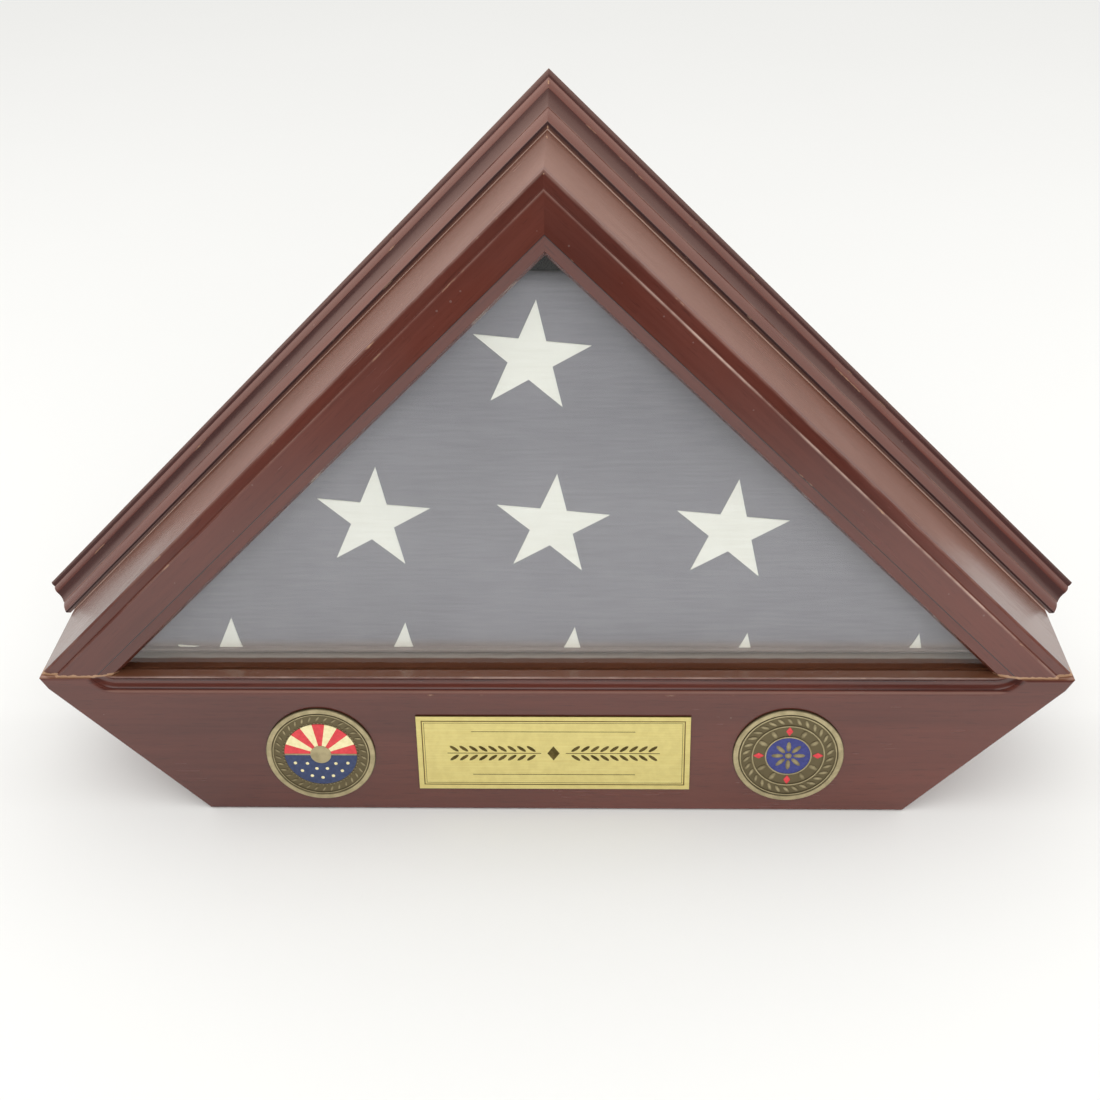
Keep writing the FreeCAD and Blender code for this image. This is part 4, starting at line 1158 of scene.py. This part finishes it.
face = (plate_middle.x, plate_low.y + 0.02 * MM, plate_middle.z)
sprig_leaf = leaf("sprig_leaf", face, 4.6 * MM, 1.5 * MM, ETCH_HEIGHT)
etching = []
for hand in (-1, 1):
    for row in range(LEAF_ROWS):
        for lift in (-1, 1):
            across = hand * (LEAF_START + LEAF_STEP * row) * MM
            lean = turn_about(face, math.radians(hand * (90.0 - lift * LEAF_LEAN)))
            shift = Matrix.Translation((across, 0.0, lift * LEAF_LIFT * MM))
            etching.append(copied(sprig_leaf, shift @ lean))
    stem = up_from(face, 0.0, hand * 24.0 * MM)
    etching.append(bar("sprig_stem", stem, 38.0 * MM, ETCH_DEPTH, 0.35 * MM, ETCH_EDGE))
bpy.data.objects.remove(sprig_leaf)
for rise in (-10.6, 10.6):
    etching.append(bar("plate_rule", up_from(face, rise * MM), 66.0 * MM, ETCH_DEPTH, 0.3 * MM, ETCH_EDGE))
etching.append(leaf("plate_lozenge", face, 7.0 * MM, 5.0 * MM, ETCH_HEIGHT, 4))
dress(merged(etching), "plate_sprig", ETCHED)


# Folded flag: a stack of soft folds with the stars sewn on the front one, and a low fold along its foot.

# In millimetres: depths between which the folds lie, from the front, and the level of each one's top.
FOLD_LINES = [-20.4, -13.0, -6.5, 0.0, 6.0, 12.0, 22.6]
FOLD_TOPS = [226.5, 220.0, 216.0, 213.0, 210.0, 206.0]
# Mesh size and rounds of smoothing for the outer folds, those between and the low fold.
OUTER_CLOTH = (2.5 * MM, 5)
INNER_CLOTH = (3.5 * MM, 3)
LOW_CLOTH = (1.2 * MM, 2)
# The low fold: its height, its back, and how far it is drawn forward.
LOW_HEIGHT = 3.8 * MM
LOW_BACK = -12.0 * MM
LOW_FORWARD = 1.9 * MM
RIPPLE_SCALE = 0.07
RIPPLE_HEIGHT = 1.6 * MM


def flag_fold(name, front, back, top, cloth):
    """One fold of cloth: a slice of the flag's space up to a level, remeshed and softened."""
    fresh()
    fold = bpy.data.objects.new(name, nodes["folded_flag"].data.copy())
    bpy.context.scene.collection.objects.link(fold)
    open_all(fold)
    bpy.ops.mesh.remove_doubles(threshold=0.01 * MM)
    cut_away((0.0, front, 0.0), BACKWARD, beyond=False)
    cut_away((0.0, back, 0.0), BACKWARD, beyond=True)
    cut_away((0.0, 0.0, top), UPWARD, beyond=True)
    close_mesh()
    voxel, rounds = cloth
    apply_modifier(fold, "REMESH", mode="VOXEL", voxel_size=voxel)
    apply_modifier(fold, "SMOOTH", factor=0.5, iterations=rounds)
    return fold


folds = []
for row, (front, back, top) in enumerate(zip(FOLD_LINES, FOLD_LINES[1:], FOLD_TOPS)):
    cloth = OUTER_CLOTH if row in (0, len(FOLD_TOPS) - 1) else INNER_CLOTH
    folds.append(flag_fold("flag_fold_%d" % row, front * MM, back * MM, top * MM, cloth))
front_fold = folds[0]
low_fold = flag_fold("flag_lower_fold", FOLD_LINES[0] * MM, LOW_BACK, FLAG_LOW.z + LOW_HEIGHT, LOW_CLOTH)
low_fold.data.transform(Matrix.Translation((0.0, -LOW_FORWARD, 0.0)))
folds.append(low_fold)
ripple = bpy.data.textures.new("cloth_ripple", "CLOUDS")
ripple.noise_scale = RIPPLE_SCALE
apply_modifier(front_fold, "DISPLACE", texture=ripple, strength=RIPPLE_HEIGHT, mid_level=0.5,
               texture_coords="GLOBAL")

# Places of the stars in millimetres across and up, and how they are drawn, cut off and sewn on.
STAR_PLACES = [(-6.4, 194.2), (-69.1, 126.7), (0.3, 123.9), (69.6, 121.1),
               (-131.5, 59.3), (-61.6, 56.8), (6.4, 55.0), (75.4, 52.2), (143.6, 52.2)]
STAR_START = -30.0 * MM
STAR_RADIUS = 22.8 * MM
STAR_LEAN = 6.0
STAR_CUTS = 7
STAR_FOOT = FLAG_LOW.z + LOW_HEIGHT - 0.3 * MM
STAR_THICKNESS = 0.5 * MM

stars = []
for row, (across, level) in enumerate(STAR_PLACES):
    centre = (across * MM, STAR_START, level * MM)
    star = leaning(star_blank("flag_star_%d" % row, centre, STAR_RADIUS), centre, STAR_LEAN)
    open_all(star)
    bpy.ops.mesh.poke()
    bpy.ops.mesh.subdivide(number_cuts=STAR_CUTS)
    cut_away((0.0, 0.0, STAR_FOOT), UPWARD, beyond=False, fill=False)
    close_mesh()
    apply_modifier(star, "SHRINKWRAP", target=front_fold, wrap_method="PROJECT", use_project_y=True,
                   use_positive_direction=True, use_negative_direction=False)
    star.data.transform(Matrix.Translation((0.0, -STAR_THICKNESS / 2, 0.0)))
    apply_modifier(star, "SOLIDIFY", thickness=STAR_THICKNESS, offset=0.0)
    stars.append(star)
flag_stars = dress(merged(stars), "flag_stars", STAR_WHITE, 40)
flag_cloth = dress(merged(folds), "flag_cloth", FLAG_BLUE, 60)
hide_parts("folded_flag")


# Floor, lamps and camera

FLOOR_SIZE = 12.0
FLOOR_DROP = 0.2 * MM
ROOM_LIGHT = 0.93
ROOM_DIM = (0.20, 0.17, 0.165, 1.0)
WHITE = (1.0, 1.0, 1.0)
WARM_WHITE = (1.0, 0.99, 0.97)
LAMP_AIM = (0.0, 0.0, 0.1)
SIDE_AIM = (0.0, 0.0, 0.15)

fresh()
bpy.ops.mesh.primitive_plane_add(size=FLOOR_SIZE, location=(0.0, 0.0, -FLOOR_DROP))
floor = just_added("pale_floor")
floor.data.materials.append(pale_floor_finish())

# The room is white and even, but dim where gloss mirrors it.
world = bpy.data.worlds.new("white_room")
bpy.context.scene.world = world
world.use_nodes = True
room = world.node_tree
even = room.nodes["Background"]
feed(room, even, {"Color": WHITE + (1.0,), "Strength": ROOM_LIGHT})
dim = put(room, "ShaderNodeBackground", {"Color": ROOM_DIM, "Strength": 1.0})
ray = room.nodes.new("ShaderNodeLightPath").outputs
bounced = minus(room, ray["Is Glossy Ray"], ray["Is Transmission Ray"], clamp=True)
both = put(room, "ShaderNodeMixShader", {0: bounced, 1: even.outputs[0], 2: dim.outputs[0]})
feed(room, room.nodes["World Output"], {"Surface": both.outputs[0]})
soft_light("overhead_lamp", (-0.2, -0.9, 1.9), LAMP_AIM, 1.2, 5.0, WARM_WHITE)
soft_light("front_lamp", (0.3, -1.8, 0.9), LAMP_AIM, 1.6, 13.0, WHITE, mirrored=False)
for hand, side in ((-1, "left"), (1, "right")):
    soft_light(side + "_lamp", (hand * 1.25, 0.1, 0.75), SIDE_AIM, 0.5, 2.5, WHITE, mirrored=False)
dark_card((0.0, -0.25, 0.18), 2.0, 0.36)
warm_card((0.0, 0.45, 0.6), 2.0, 1.2)
photo_camera()
bpy.context.scene.view_settings.view_transform = "Standard"
